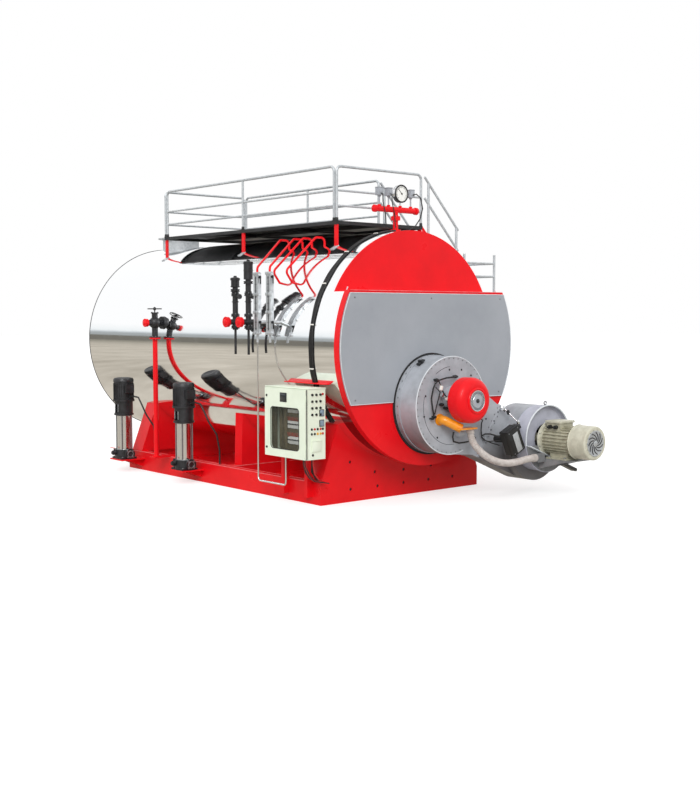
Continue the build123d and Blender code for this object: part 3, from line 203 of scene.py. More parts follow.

# The same enamel on the fan's scroll, with painted shade on its belly: darker towards the bottom
scrollGrey = newFinish("scrollGrey", "burner_grey_paint", "#A4A7A9", 0.45,
                       ("#ABAFB5", "#8B8E93", 180, 0.75, 0.36, 0.58), (5, 0.2, 0.18))
tree, shader, where = openNodes(scrollGrey)
paintShade(tree, shader, where, 0.66, 0.46, 0.92, "#5B5859")

# Mid-grey plate that closes the inlet under the motor: a darker copy of the burner grey, as painted shade
# under the shelf
bracketShadeGrey = newFinish("bracketShadeGrey", "burner_grey_paint", "#808183", 0.5,
                        ("#868789", "#5E5F61", 130, 0.8, 0.4, 0.6))
# Pale lavender-grey primer inside the fan's inlet
inletPrimer = newFinish("inletPrimer", "inlet_paint", "#B4B6C2", 0.5,
                        ("#B9BBC8", "#9C9EA9", 160, 0.7, 0.42, 0.6))
# Cream machine paint on the motor's cowl: warm off-white, dirt in the corners
creamPaint = newFinish("creamPaint", "cream_paint", "#D8D6C2", 0.4,
                       ("#CECCBA", "#A3A08D", 90, 0.7, 0.32, 0.5), (4, 0.3, 0.2))
# The same paint on the motor's finned body: a darker copy as painted shade between the fins, with random
# dust clouds
creamDustAndShade = newFinish("creamDustAndShade", "cream_paint", "#B4B19B", 0.5,
                        ("#BBB8A3", "#85826D", 60, 0.8, 0.4, 0.6), (4, 0.3, 0.2))
# Orange enamel on the gas elbow
orangeEnamel = newFinish("orangeEnamel", "orange_paint", "#F09A1E", 0.3,
                         ("#F29C1C", "#D67C12", 60, 0.6, 0.25, 0.4), (5, 0.4, 0.2),
                         Coat_Weight=0.3, Coat_Roughness=0.15)
# Black enamel over grey iron castings: satin black with a sandy casting skin
blackCasting = newFinish("blackCasting", "black_casting", "#1B1B1D", 0.4,
                         ("#191A1C", "#34343A", 70, 0.6, 0.3, 0.55), (3, 0.5, 0.3))
# Moulded black plastic: boxes, cables and knobs, soft sheen
blackPlastic = newFinish("blackPlastic", "black_plastic", "#161617", 0.45,
                         ("#151516", "#2B2B2D", 60, 0.5, 0.38, 0.6), (2, 0.1, 0.15))

# Hot-dip galvanised steel: grey with crystal spangles a few centimetres across
galvanised = newFinish("galvanised", "galvanised_steel", "#C2C6C9", 0.42, Metallic=0.35)
tree, shader, where = openNodes(galvanised)
spangle = addNode(tree, "ShaderNodeTexVoronoi", {"Scale": 1000 / 26}, {"Vector": where}).outputs["Color"]
spangleTint = addNode(tree, "ShaderNodeMix", {
    "data_type": "RGBA", 6: linear("#CDD1D4"), 7: linear("#B2B7BB")}, {0: spangle})
spangleGloss = addNode(tree, "ShaderNodeMapRange", {"To Min": 0.32, "To Max": 0.52}, {"Value": spangle})
tree.links.new(spangleTint.outputs[2], shader.inputs["Base Color"])
tree.links.new(spangleGloss.outputs["Result"], shader.inputs["Roughness"])

# Ribbed PVC duct, off-white, dusty in the grooves
hosePvc = newFinish("hosePvc", "hose_plastic", "#C8C1B5", 0.5, ("#C5BEB9", "#9F968F", 50, 0.7, 0.42, 0.6))
# White nylon cable ties
tieNylon = newFinish("tieNylon", "hose_plastic", "#EDEBE4", 0.5, ("#F0EEE8", "#D5D1C5", 20, 0.5, 0.4, 0.6))
# Cream-green powder coat on the control cabinet
cabinetCoat = newFinish("cabinetCoat", "cabinet_paint", "#E6EDDB", 0.45,
                        ("#EBF4E1", "#DAE4CE", 240, 0.6, 0.38, 0.52), (4, 0.15, 0.15))
# Mounting plate inside the cabinet: olive brown, darkened as painted shade of the box
gearBoardCoat = newFinish("gearBoardCoat", "cabinet_paint", "#6F6149", 0.6,
                          ("#786A50", "#54492F", 110, 0.7, 0.5, 0.7))

# Clear window glass in the cabinet's door, a little smeared
windowGlass = newFinish("windowGlass", "clear_glass", "#59605A", 0.03, Alpha=0.16, IOR=1.45)
tree, shader, where = openNodes(windowGlass)
hazed(tree, shader, where, {"Scale": 1000 / 120, "Detail": 4.0}, 0.4, 0.8, 0.02, 0.10)

# Zinc-plated fasteners, greyed by weather
zincFastener = newFinish("zincFastener", "bright_steel", "#8E9194", 0.38,
                         ("#979A9D", "#6A6C6F", 20, 0.7, 0.3, 0.5), Metallic=0.85)
# Satin aluminium alloy: level gauge bodies, dulled by heat
satinAlloy = newFinish("satinAlloy", "bright_steel", "#B9BDC0", 0.42,
                       ("#C3C7CA", "#9A9EA2", 45, 0.6, 0.34, 0.5), Metallic=0.55)
# Bare rating plate: brushed aluminium, nothing on it
barePlate = newFinish("barePlate", "bright_steel", "#B2B5B7", 0.4,
                      ("#BABDBF", "#95989A", 40, 0.6, 0.34, 0.5), Metallic=0.2)
# Gasket rope between burner and door: matt black, woven lumps
gasketRope = newFinish("gasketRope", "gasket_rubber", "#222224", 0.85, None, (6, 1.0, 0.5))
# Black deck paint over tread plate: satin, greyed by boots
deckPaint = newFinish("deckPaint", "black_paint", "#1D1E20", 0.5,
                      ("#1A1B1D", "#3C3D3F", 140, 0.7, 0.4, 0.65), (4, 0.3, 0.2))
# White card of the dial, under glass
dialCard = newFinish("dialCard", "control_plastic", "#F4F4F0", 0.35,
                     ("#F6F6F2", "#E9E9E2", 40, 0.5, 0.3, 0.4), Coat_Weight=0.6, Coat_Roughness=0.05)
# Unlit display window: near black with a cool sheen
displayDark = newFinish("displayDark", "control_plastic", "#1A2024", 0.12,
                        ("#1A2024", "#2B3338", 25, 0.5, 0.08, 0.2), Coat_Weight=0.5)
# Moulded indicator caps and meter windows
lampRed = newFinish("lampRed", "control_plastic", "#C8161C", 0.3,
                    ("#CE171D", "#A31015", 12, 0.5, 0.25, 0.4), Coat_Weight=0.4)
lampAmber = newFinish("lampAmber", "control_plastic", "#E0A21C", 0.3,
                      ("#E6A81E", "#C08512", 12, 0.5, 0.25, 0.4), Coat_Weight=0.4)
meterGlass = newFinish("meterGlass", "control_plastic", "#7F95A6", 0.15,
                       ("#8AA0B0", "#64798A", 30, 0.6, 0.1, 0.25), Coat_Weight=0.5)
print("materials made:", len(bpy.data.materials))

finishes = {
    redEnamel: ("front_door", "front_top_panel", "front_saddle", "rear_saddles", "base_beams",
                "base_cross_beams", "rear_end_plate", "rear_access_cover", "burner_motor_cover",
                "walkway_legs", "equipment_brackets", "feed_pipe", "blank_caps", "impulse_pipes",
                "instrument_manifold", "cabinet_stand", "landing_posts", "stair_strings"),
    polishedStainless: ("cladding_shell",),
    shadedStainless: ("front_smokebox",),
    brightStainless: ("feed_pump_sleeves", "pressure_gauge", "gauge_conduit"),
    satinAlloy: ("level_gauges",),
    panelGrey: ("front_grey_panel",),
    burnerGrey: ("burner_windbox", "burner_motor_stand", "burner_hub", "pressure_switches"),
    scrollGrey: ("fan_scroll",),
    bracketShadeGrey: ("motor_bracket",),
    inletPrimer: ("fan_inlet",),
    creamPaint: ("fan_motor_cowl",),
    creamDustAndShade: ("fan_motor",),
    orangeEnamel: ("burner_elbow",),
    blackCasting: ("feed_pump_castings", "feed_pump_motors", "feed_valve", "feed_handwheel",
                   "level_columns", "fan_impeller"),
    blackPlastic: ("damper_actuator", "cable_bundle", "cabinet_controls"),
    deckPaint: ("walkway_deck",),
    galvanised: ("side_guard_rails", "end_guard_rails", "stair_hand_rails", "landing_guard",
                 "landing_floor", "stair_treads", "flue_outlet"),
    zincFastener: ("feed_pump_stays",),
    hosePvc: ("primary_air_hose",),
    cabinetCoat: ("cabinet_shell", "cabinet_door", "cabinet_internals"),
    windowGlass: ("cabinet_window",),
    gasketRope: ("burner_gasket",),
}
for material, names in finishes.items():
    for name in names:
        nodes[name].data.materials.clear()
        nodes[name].data.materials.append(material)
print("finishes on CAD nodes:", sum(len(v) for v in finishes.values()))


def byRay(tree, spread, mirrored, seen):
    # one shader for scattered light, one for reflections, and one for the eye and through glass
    rays = addNode(tree, "ShaderNodeLightPath").outputs
    straight = addNode(tree, "ShaderNodeMath", {"operation": "MAXIMUM"},
                       {0: rays["Is Camera Ray"], 1: rays["Is Transmission Ray"]})
    bounced = addNode(tree, "ShaderNodeMixShader", None,
                      {0: rays["Is Glossy Ray"], 1: spread.outputs[0], 2: mirrored.outputs[0]})
    return addNode(tree, "ShaderNodeMixShader", None,
                   {0: straight.outputs[0], 1: bounced.outputs[0], 2: seen.outputs[0]}).outputs[0]


# Light: an even bright sky with hills in its reflections, one large soft lamp from the upper left front
sky = {"level": 0.86, "mirrorLevel": 1.07, "hillHeight": 0.07, "ramp": (
    (0.0, "#75726A"), (0.008, "#A6ABAC"), (0.030, "#A6ABAC"), (0.042, "#C9CFD2"), (0.060, "#F1F5F6"),
    (0.14, "#FFFFFF"))}
lampLight = {"energy": 1.65, "softness": 28, "turn": (56, -8, -40)}
world = bpy.data.worlds.new("studioSky")
scene.world = world
world.use_nodes = True
tree = world.node_tree
tree.nodes.clear()
direction = addNode(tree, "ShaderNodeTexCoord").outputs["Generated"]
height = addNode(tree, "ShaderNodeSeparateXYZ", None, {"Vector": direction}).outputs["Z"]
hills = addNode(tree, "ShaderNodeTexNoise", {"Scale": 5.0, "Detail": 4.0}, {"Vector": direction})
skyline = addNode(tree, "ShaderNodeMath", {"operation": "MULTIPLY_ADD", 1: -sky["hillHeight"]},
                  {0: hills.outputs["Fac"], 2: height})
skyRamp = addNode(tree, "ShaderNodeValToRGB", None, {"Fac": skyline.outputs[0]})
stops = skyRamp.color_ramp.elements
for k, (place, colour) in enumerate(sky["ramp"]):
    stop = stops[k] if k < 2 else stops.new(place)
    stop.position, stop.color = place, linear(colour)
ambient = addNode(tree, "ShaderNodeBackground", {"Color": (1, 1, 1, 1), "Strength": sky["level"]})
mirrored = addNode(tree, "ShaderNodeBackground", {"Strength": sky["mirrorLevel"]},
                   {"Color": skyRamp.outputs["Color"]})
white = addNode(tree, "ShaderNodeBackground", {"Color": (1, 1, 1, 1), "Strength": 1.0})
addNode(tree, "ShaderNodeOutputWorld", None, {"Surface": byRay(tree, ambient, mirrored, white)})
lamp = bpy.data.objects.new("softLamp", bpy.data.lights.new("softLamp", "SUN"))
lamp.data.energy = lampLight["energy"]
lamp.data.angle = radians(lampLight["softness"])
lamp.rotation_euler = [radians(a) for a in lampLight["turn"]]
scene.collection.objects.link(lamp)

# Floor: white to the eye with the boiler's shadow, sandy ground to the polished cladding
ground = {"half": 90.0, "glow": 0.62, "shade": 0.52, "bounce": (0.55, 0.54, 0.52, 1), "sandMm": 2200,
          "sandLight": "#DCD4C6", "sandDark": "#B6AEA0", "sandFar": "#9B968A", "far": (22.0, 60.0)}
floorMesh = bpy.data.meshes.new("floor")
corners = [(x * ground["half"], y * ground["half"], 0) for x, y in ((-1, -1), (1, -1), (1, 1), (-1, 1))]
floorMesh.from_pydata(corners, [], [(0, 1, 2, 3)])
floor = bpy.data.objects.new("floor", floorMesh)
floor.location.z = cadBox[0].z - 0.001
scene.collection.objects.link(floor)
floorCoat = bpy.data.materials.new("floorCoat")
floorCoat.use_nodes = True
tree = floorCoat.node_tree
tree.nodes.clear()
where = addNode(tree, "ShaderNodeTexCoord").outputs["Object"]
matt = addNode(tree, "ShaderNodeBsdfDiffuse", {"Color": (ground["shade"],) * 3 + (1,)})
glow = addNode(tree, "ShaderNodeEmission", {"Color": (1, 1, 1, 1), "Strength": ground["glow"]})
paper = addNode(tree, "ShaderNodeAddShader", None, {0: matt.outputs[0], 1: glow.outputs[0]})
plain = addNode(tree, "ShaderNodeBsdfDiffuse", {"Color": ground["bounce"]})
sand = addNode(tree, "ShaderNodeTexNoise", {
    "Scale": 1000 / ground["sandMm"], "Detail": 5.0, "Roughness": 0.65}, {"Vector": where})
sandShare = addNode(tree, "ShaderNodeMapRange", {"From Min": 0.35, "From Max": 0.65},
                    {"Value": sand.outputs["Fac"]})
sandTint = addNode(tree, "ShaderNodeMix", {
    "data_type": "RGBA", 6: linear(ground["sandLight"]), 7: linear(ground["sandDark"])},
    {0: sandShare.outputs["Result"]})
away = addNode(tree, "ShaderNodeVectorMath", {"operation": "LENGTH"}, {0: where})
farShare = addNode(tree, "ShaderNodeMapRange", {"From Min": ground["far"][0], "From Max": ground["far"][1]},
                   {"Value": away.outputs["Value"]})
farTint = addNode(tree, "ShaderNodeMix", {"data_type": "RGBA", 7: linear(ground["sandFar"])},
                  {0: farShare.outputs["Result"], 6: sandTint.outputs[2]})
sandGlow = addNode(tree, "ShaderNodeEmission", {"Strength": 1.0}, {"Color": farTint.outputs[2]})
addNode(tree, "ShaderNodeOutputMaterial", None, {"Surface": byRay(tree, plain, sandGlow, paper)})
floorMesh.materials.append(floorCoat)
print("light and floor set")


# Mesh building: the add functions put one shape in a mesh, build makes a piece of several
def newPiece(name, mesh, material, body="boiler"):
    mesh.materials.clear()
    mesh.materials.append(material)
    mesh.shade_smooth()
    mesh.set_sharp_from_angle(angle=radians(35))
    piece = bpy.data.objects.new(name, mesh)
    scene.collection.objects.link(piece)
    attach(piece, body)
    return piece


def build(name, material, *steps, body="boiler"):
    # each step is an add function and its values
    bm = bmesh.new()
    for add, *values in steps:
        add(bm, *values)
    bmesh.ops.recalc_face_normals(bm, faces=bm.faces)
    mesh = bpy.data.meshes.new(name)
    bm.to_mesh(mesh)
    bm.free()
    return newPiece(name, mesh, material, body)


def addBlock(bm, centre, size, edge=0.003, turn=None):
    place = Matrix.Translation(centre) @ (turn or Matrix.Identity(4)) @ Matrix.Diagonal((*size, 1))
    made = bmesh.ops.create_cube(bm, size=1, matrix=place)
    edges = {e for v in made["verts"] for e in v.link_edges}
    bmesh.ops.bevel(bm, geom=list(edges), offset=edge, segments=2, profile=0.5, affect="EDGES")


def addRod(bm, start, end, radius, sides=24, endRadius=None):
    start, end = Vector(start), Vector(end)
    turn = (end - start).to_track_quat("Z", "Y").to_matrix().to_4x4()
    bmesh.ops.create_cone(bm, cap_ends=True, segments=sides, radius1=radius, radius2=endRadius or radius,
                          depth=(end - start).length, matrix=Matrix.Translation((start + end) / 2) @ turn)


def addTube(bm, points, radius, sides=8, closed=False):
    points = [Vector(p) for p in points]
    across, rings = None, []
    for i, point in enumerate(points):
        ahead = points[(i + 1) % len(points)] if closed or i + 1 < len(points) else point
        behind = points[i - 1] if closed or i else point
        along = (ahead - behind).normalized()
        across = across - along * across.dot(along) if across else along.orthogonal()
        across.normalize()
        up = along.cross(across)
        angles = [2 * pi * k / sides for k in range(sides)]
        rings.append([bm.verts.new(point + (across * cos(a) + up * sin(a)) * radius) for a in angles])
    following = rings[1:] + rings[:1] if closed else rings[1:]
    for lower, upper in zip(rings, following):
        for k in range(sides):
            bm.faces.new((lower[k], lower[(k + 1) % sides], upper[(k + 1) % sides], upper[k]))
    if not closed:
        bm.faces.new(list(reversed(rings[0])))
        bm.faces.new(rings[-1])


def addRing(bm, centre, ringRadius, count, radius, facing="Y", sides=8):
    addTube(bm, ring(centre, ringRadius, count, facing), radius, sides, True)


def addLathe(bm, origin, axis, profile, sides=64):
    # profile: (radius, distance along the axis), from one end of the outline to the other
    turn = Vector(axis).to_track_quat("Z", "Y").to_matrix()
    rings = []
    for radius, along in profile:
        count = sides if radius > 1e-6 else 1
        angles = [2 * pi * k / sides for k in range(count)]
        rim = [Vector((radius * cos(a), radius * sin(a), along)) for a in angles]
        rings.append([bm.verts.new(Vector(origin) + turn @ p) for p in rim])
    for lower, upper in zip(rings, rings[1:]):
        for k in range(sides):
            around = ((lower, k), (lower, k + 1), (upper, k + 1), (upper, k))
            bm.faces.new(list(dict.fromkeys(rim[j % len(rim)] for rim, j in around)))


def addSheet(bm, outline, thickness):
    face = bm.faces.new([bm.verts.new(p) for p in outline])
    made = bmesh.ops.extrude_face_region(bm, geom=[face])["geom"]
    bmesh.ops.translate(bm, verts=[v for v in made if isinstance(v, bmesh.types.BMVert)], vec=thickness)


# Places: points round circles that face along Y, X or Z, in degrees from their local right
def outward(turn, facing="Y"):
    right, up = cos(radians(turn)), sin(radians(turn))
    return Vector({"Y": (right, 0, up), "X": (0, right, up), "Z": (right, up, 0)}[facing])


def arc(centre, radius, count, first, last, facing="Y"):
    turns = [first + (last - first) * k / (count - 1) for k in range(count)]
    return [Vector(centre) + outward(turn, facing) * radius for turn in turns]


def ring(centre, radius, count, facing="Y", first=0.0):
    return arc(centre, radius, count, first, first + 360 - 360 / count, facing)


def aimed(points, aim):
    return [(Vector(p), aim) for p in points]


def spokes(centre, radius, turns, facing="Y"):
    return [(Vector(centre) + outward(turn, facing) * radius, outward(turn, facing)) for turn in turns]


def tilted(turn, axis="Y"):
    return Matrix.Rotation(radians(turn), 4, axis)


def halfChord(radius, height):
    return sqrt(radius ** 2 - height ** 2)


def middle(node):
    low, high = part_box(node)
    return (low + high) / 2


def span(node):
    low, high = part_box(node)
    return high - low


# Geometry Nodes trees for what repeats
def newTree(name, *lengths, counts=()):
    tree = bpy.data.node_groups.new(name, "GeometryNodeTree")
    tree.interface.new_socket("Geometry", in_out="INPUT", socket_type="NodeSocketGeometry")
    for label in (*lengths, *counts):
        tree.interface.new_socket(label, in_out="INPUT",
                                  socket_type="NodeSocketInt" if label in counts else "NodeSocketFloat")
    tree.interface.new_socket("Finish", in_out="INPUT", socket_type="NodeSocketMaterial")
    tree.interface.new_socket("Geometry", in_out="OUTPUT", socket_type="NodeSocketGeometry")
    return tree, tree.nodes.new("NodeGroupInput").outputs


def endTree(tree, given, geometry):
    whole = addNode(tree, "GeometryNodeRealizeInstances", None, {"Geometry": geometry})
    coated = addNode(tree, "GeometryNodeSetMaterial", None,
                     {"Geometry": whole.outputs[0], "Material": given["Finish"]})
    addNode(tree, "NodeGroupOutput", None, {0: coated.outputs[0]})


def onPoints(tree, given, instance, axis, scale=None):
    # the instance on every point, its axis along the point's aim
    aim = addNode(tree, "GeometryNodeInputNamedAttribute", {"data_type": "FLOAT_VECTOR", "Name": "aim"})
    turned = addNode(tree, "FunctionNodeAlignRotationToVector", {"axis": axis}, {"Vector": aim.outputs[0]})
    links = {"Points": given["Geometry"], "Instance": instance, "Rotation": turned.outputs[0]}
    if scale:
        links["Scale"] = scale
    placed = addNode(tree, "GeometryNodeInstanceOnPoints", None, links)
    endTree(tree, given, placed.outputs[0])


def grow(name, tree, mesh, material, values):
    # a piece from the tree's result on the mesh
    base = bpy.data.objects.new("treeBase", mesh)
    scene.collection.objects.link(base)
    modifier = base.modifiers.new("tree", "NODES")
    modifier.node_group = tree
    values = {**values, "Finish": material}
    for item in tree.interface.items_tree:
        if item.in_out == "INPUT" and item.name in values:
            modifier[item.identifier] = values[item.name]
    made = bpy.data.meshes.new_from_object(base.evaluated_get(bpy.context.evaluated_depsgraph_get()))
    base.modifiers.clear()
    bpy.data.objects.remove(base)
    return newPiece(name, made, material)


def pointMesh(places):
    mesh = bpy.data.meshes.new("points")
    mesh.from_pydata([p for p, aim in places], [], [])
    aims = mesh.attributes.new("aim", "FLOAT_VECTOR", "POINT")
    aims.data.foreach_set("vector", [c for p, aim in places for c in aim])
    return mesh


# a washer and a tapered head on every point, standing along its aim
boltTree, given = newTree("boltTree", "Head Radius", "Head Height", counts=("Sides",))
headTop = addNode(boltTree, "ShaderNodeMath", {"operation": "MULTIPLY", 1: 0.82}, {0: given["Head Radius"]})
washerRadius = addNode(boltTree, "ShaderNodeMath", {"operation": "MULTIPLY", 1: 1.45},
                       {0: given["Head Radius"]})
washerHeight = addNode(boltTree, "ShaderNodeMath", {"operation": "MULTIPLY", 1: 0.3},
                       {0: given["Head Height"]})
head = addNode(boltTree, "GeometryNodeMeshCone", None, {
    "Vertices": given["Sides"], "Radius Top": headTop.outputs[0], "Radius Bottom": given["Head Radius"],
    "Depth": given["Head Height"]})
washer = addNode(boltTree, "GeometryNodeMeshCone", {"Vertices": 14}, {
    "Radius Top": washerRadius.outputs[0], "Radius Bottom": washerRadius.outputs[0],
    "Depth": washerHeight.outputs[0]})
bolt = addNode(boltTree, "GeometryNodeJoinGeometry", None, {0: head.outputs["Mesh"]})
boltTree.links.new(washer.outputs["Mesh"], bolt.inputs[0])
onPoints(boltTree, given, bolt.outputs[0], "Z")

# a straight bar on every point, lying along its aim
barTree, given = newTree("barTree", "Bar Length", "Bar Depth", "Bar Width")
barSize = addNode(barTree, "ShaderNodeCombineXYZ", None, {
    "X": given["Bar Length"], "Y": given["Bar Depth"], "Z": given["Bar Width"]})
barMesh = addNode(barTree, "GeometryNodeMeshCube", None, {"Size": barSize.outputs[0]})
onPoints(barTree, given, barMesh.outputs["Mesh"], "X")

# a raised lozenge on every point of a tread plate, turned to its aim
lozengeTree, given = newTree("lozengeTree", "Lozenge Length", "Lozenge Width", "Lozenge Height")
lozenge = addNode(lozengeTree, "GeometryNodeMeshCone",
                  {"Vertices": 6, "Radius Top": 0.3, "Radius Bottom": 0.5},
                  {"Depth": given["Lozenge Height"]})
lozengeSize = addNode(lozengeTree, "ShaderNodeCombineXYZ", {"Z": 1.0},
                      {"X": given["Lozenge Length"], "Y": given["Lozenge Width"]})
onPoints(lozengeTree, given, lozenge.outputs["Mesh"], "X", lozengeSize.outputs[0])

# a ribbed tube along a line of points
ribTree, given = newTree("ribTree", "Diameter", "Rib Pitch", "Rib Depth")
line = addNode(ribTree, "GeometryNodeMeshToCurve", None, {"Mesh": given["Geometry"]})
along = addNode(ribTree, "GeometryNodeSplineParameter")
turns = addNode(ribTree, "ShaderNodeMath", {"operation": "DIVIDE"},
                {0: along.outputs["Length"], 1: given["Rib Pitch"]})
angle = addNode(ribTree, "ShaderNodeMath", {"operation": "MULTIPLY", 1: 2 * pi}, {0: turns.outputs[0]})
wave = addNode(ribTree, "ShaderNodeMath", {"operation": "COSINE"}, {0: angle.outputs[0]})
swell = addNode(ribTree, "ShaderNodeMath", {"operation": "MULTIPLY"},
                {0: wave.outputs[0], 1: given["Rib Depth"]})
radius = addNode(ribTree, "ShaderNodeMath", {"operation": "MULTIPLY_ADD", 1: 0.5},
                 {0: given["Diameter"], 2: swell.outputs[0]})
circle = addNode(ribTree, "GeometryNodeCurvePrimitiveCircle", {"Resolution": 28, "Radius": 1.0})
skin = addNode(ribTree, "GeometryNodeCurveToMesh", {"Fill Caps": True}, {
    "Curve": line.outputs[0], "Profile Curve": circle.outputs[0], "Scale": radius.outputs[0]})
endTree(ribTree, given, skin.outputs[0])
print("trees built:", len(bpy.data.node_groups))


def bolts(name, places, headMm, heightMm, sides=6, material=zincFastener):
    return grow(name, boltTree, pointMesh(places), material, {
        "Head Radius": headMm / 1000, "Head Height": heightMm / 1000, "Sides": sides})


def bars(name, places, lengthMm, depthMm, widthMm, material):
    return grow(name, barTree, pointMesh(places), material, {
        "Bar Length": lengthMm / 1000, "Bar Depth": depthMm / 1000, "Bar Width": widthMm / 1000})


toFront, toLeft, toTop = Vector((0, -1, 0)), Vector((-1, 0, 0)), Vector((0, 0, 1))
toRear = -toFront
shellAxis = middle("cladding_shell")
shellRadius = span("cladding_shell").z / 2
burner = middle("burner_gasket")
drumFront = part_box("burner_motor_stand")[1].y
drumRadius = span("burner_gasket").z / 2 - 0.028

# Air hose: ribbed duct from the elbow's flange to the socket beside the fan
hose = {"diameter": 0.080, "ribPitch": 0.021, "ribDepth": 0.0032, "stepsPerRib": 6, "cuff": 0.046,
        "cuffLength": 0.05, "route": (
            (0.088, -2.850, 0.834), (0.088, -2.850, 0.730), (0.130, -2.930, 0.602), (0.258, -2.990, 0.494),
            (0.468, -3.015, 0.432), (0.703, -3.012, 0.435), (0.850, -3.005, 0.455), (0.990, -3.005, 0.455))}
hoseCurve = bpy.data.curves.new("hoseLine", "CURVE")
hoseCurve.dimensions = "3D"
hoseCurve.resolution_u = 24
hoseSpline = hoseCurve.splines.new("NURBS")
hoseSpline.points.add(len(hose["route"]) - 1)
for point, place in zip(hoseSpline.points, hose["route"]):
    point.co = (*place, 1)
hoseSpline.order_u = 3
hoseSpline.use_endpoint_u = True
hoseObject = bpy.data.objects.new("hoseLine", hoseCurve)
scene.collection.objects.link(hoseObject)
hoseLine = bpy.data.meshes.new_from_object(hoseObject.evaluated_get(bpy.context.evaluated_depsgraph_get()))
bpy.data.objects.remove(hoseObject)
fine = [v.co.copy() for v in hoseLine.vertices]
stations = [0.0]
for a, b in zip(fine, fine[1:]):
    stations.append(stations[-1] + (b - a).length)
steps = round(stations[-1] / hose["ribPitch"] * hose["stepsPerRib"])
hosePath = []
for k in range(steps + 1):
    reach = stations[-1] * k / steps
    i = min(max(bisect(stations, reach) - 1, 0), len(fine) - 2)
    hosePath.append(fine[i].lerp(fine[i + 1], (reach - stations[i]) / (stations[i + 1] - stations[i])))
hoseLine = bpy.data.meshes.new("hoseLine")
hoseLine.from_pydata(hosePath, [(k, k + 1) for k in range(steps)], [])
airHose = grow("airHose", ribTree, hoseLine, hosePvc, {
    "Diameter": hose["diameter"] - 2 * hose["ribDepth"], "Rib Pitch": hose["ribPitch"],
    "Rib Depth": hose["ribDepth"]})
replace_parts(airHose, "primary_air_hose")
bore, cuff, cuffLength = hose["diameter"] / 2, hose["cuff"], hose["cuffLength"]
cuffOutline = [(bore, 0), (cuff, 0), (cuff, cuffLength * 0.8), (cuff - 0.004, cuffLength),
               (bore, cuffLength)]
hoseEnds = [(Vector(hose["route"][i]), Vector(hose["route"][j])) for i, j in ((0, 1), (-1, -2))]
hoseCuffs = build("hoseCuffs", hosePvc, *[
    (addLathe, start, (ahead - start).normalized(), cuffOutline, 40) for start, ahead in hoseEnds])

# Door edges: painted highlights as pale tubes, a lip round the door, an edge round the grey panel and a
# bead on the door's top; screws
door = {"lipMm": 6, "edgeMm": 4.5, "beadMm": 4, "screwMm": 7, "screwInset": (0.06, 0.05)}
lip, edge = door["lipMm"] / 1000, door["edgeMm"] / 1000
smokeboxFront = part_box("front_smokebox")[0].y
doorFront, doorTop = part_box("front_door")[0].y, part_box("front_door")[1].z
doorRise = doorTop - shellAxis.z
topTurn = 90 - degrees(atan2(halfChord(shellRadius, doorRise), doorRise))
build("doorLip", paleEdgeHighlight, (addTube, arc((0, smokeboxFront + 0.004, shellAxis.z), shellRadius + lip, 160,
                                         178.5 - topTurn, 361.5 + topTurn), lip))
panelLow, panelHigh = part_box("front_grey_panel")
panelFront, panelRadius = panelLow.y, span("front_grey_panel").x / 2
topHalf = halfChord(panelRadius, panelHigh.z - shellAxis.z) - 0.004
lowHalf = halfChord(panelRadius, panelLow.z - shellAxis.z) - 0.004
gasketHalf = halfChord(drumRadius + 0.032, panelLow.z - burner.z)
topAngle = degrees(atan2(panelHigh.z - shellAxis.z, topHalf))
lowAngle = degrees(atan2(panelLow.z - shellAxis.z, lowHalf))
panelAt, lowZ = (0, panelFront, shellAxis.z), panelLow.z + edge
rightArc = arc(panelAt, panelRadius - edge, 40, lowAngle, topAngle)
leftArc = arc(panelAt, panelRadius - edge, 40, 180 - topAngle, 180 - lowAngle)
build("panelEdge", paleEdgeHighlight, (addTube, [(gasketHalf, panelFront, lowZ), *rightArc, *leftArc,
                                        (-gasketHalf, panelFront, lowZ)], edge, 6))
beadHalf = halfChord(span("front_door").x / 2, doorRise) - 0.006
build("doorTopBead", redEdgeHighlight, (addTube, [(x, doorFront, doorTop - 0.003) for x in (-beadHalf, beadHalf)],
                               door["beadMm"] / 1000, 10))
insetX, insetZ = door["screwInset"]
highZ, lowZ = panelHigh.z - insetZ, panelLow.z + insetZ
bolts("panelScrews", aimed([(x, panelFront, z) for x, z in (
    (0, highZ), (insetX - topHalf, highZ), (topHalf - insetX, highZ), (insetX - lowHalf, lowZ),
    (lowHalf - insetX, lowZ))], toFront), door["screwMm"], 4, 10)

# Shell's rear: folded edge of the cladding, bolts round the end plate and its cover, handles
rear = {"edgeMm": 9, "plateBolts": 48, "coverBolts": 20, "handleMm": 12}
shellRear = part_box("cladding_shell")[1].y
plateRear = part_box("rear_end_plate")[1].y
coverRear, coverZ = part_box("rear_access_cover")[1].y, middle("rear_access_cover").z
coverRadius = span("rear_access_cover").z / 2
build("rearEdge", blackCasting, (addRing, (0, shellRear - 0.004, shellAxis.z), shellRadius - 0.004, 180,
                                 rear["edgeMm"] / 1000))
bolts("rearPlateBolts", aimed(
    ring((0, plateRear, shellAxis.z), shellRadius - 0.07, rear["plateBolts"]), toRear), 13, 12)
bolts("rearCoverBolts", aimed(
    ring((0, coverRear, coverZ), coverRadius - 0.045, rear["coverBolts"]), toRear), 12, 12)
handle = ((-0.002, -0.09), (0.05, -0.09), (0.06, -0.07), (0.06, 0.07), (0.05, 0.09), (-0.002, 0.09))
build("rearCoverHandles", blackCasting, *[
    (addTube, [(side * coverRadius * 0.45, coverRear + y, coverZ + z) for y, z in handle],
     rear["handleMm"] / 2000, 10) for side in (-1, 1)])
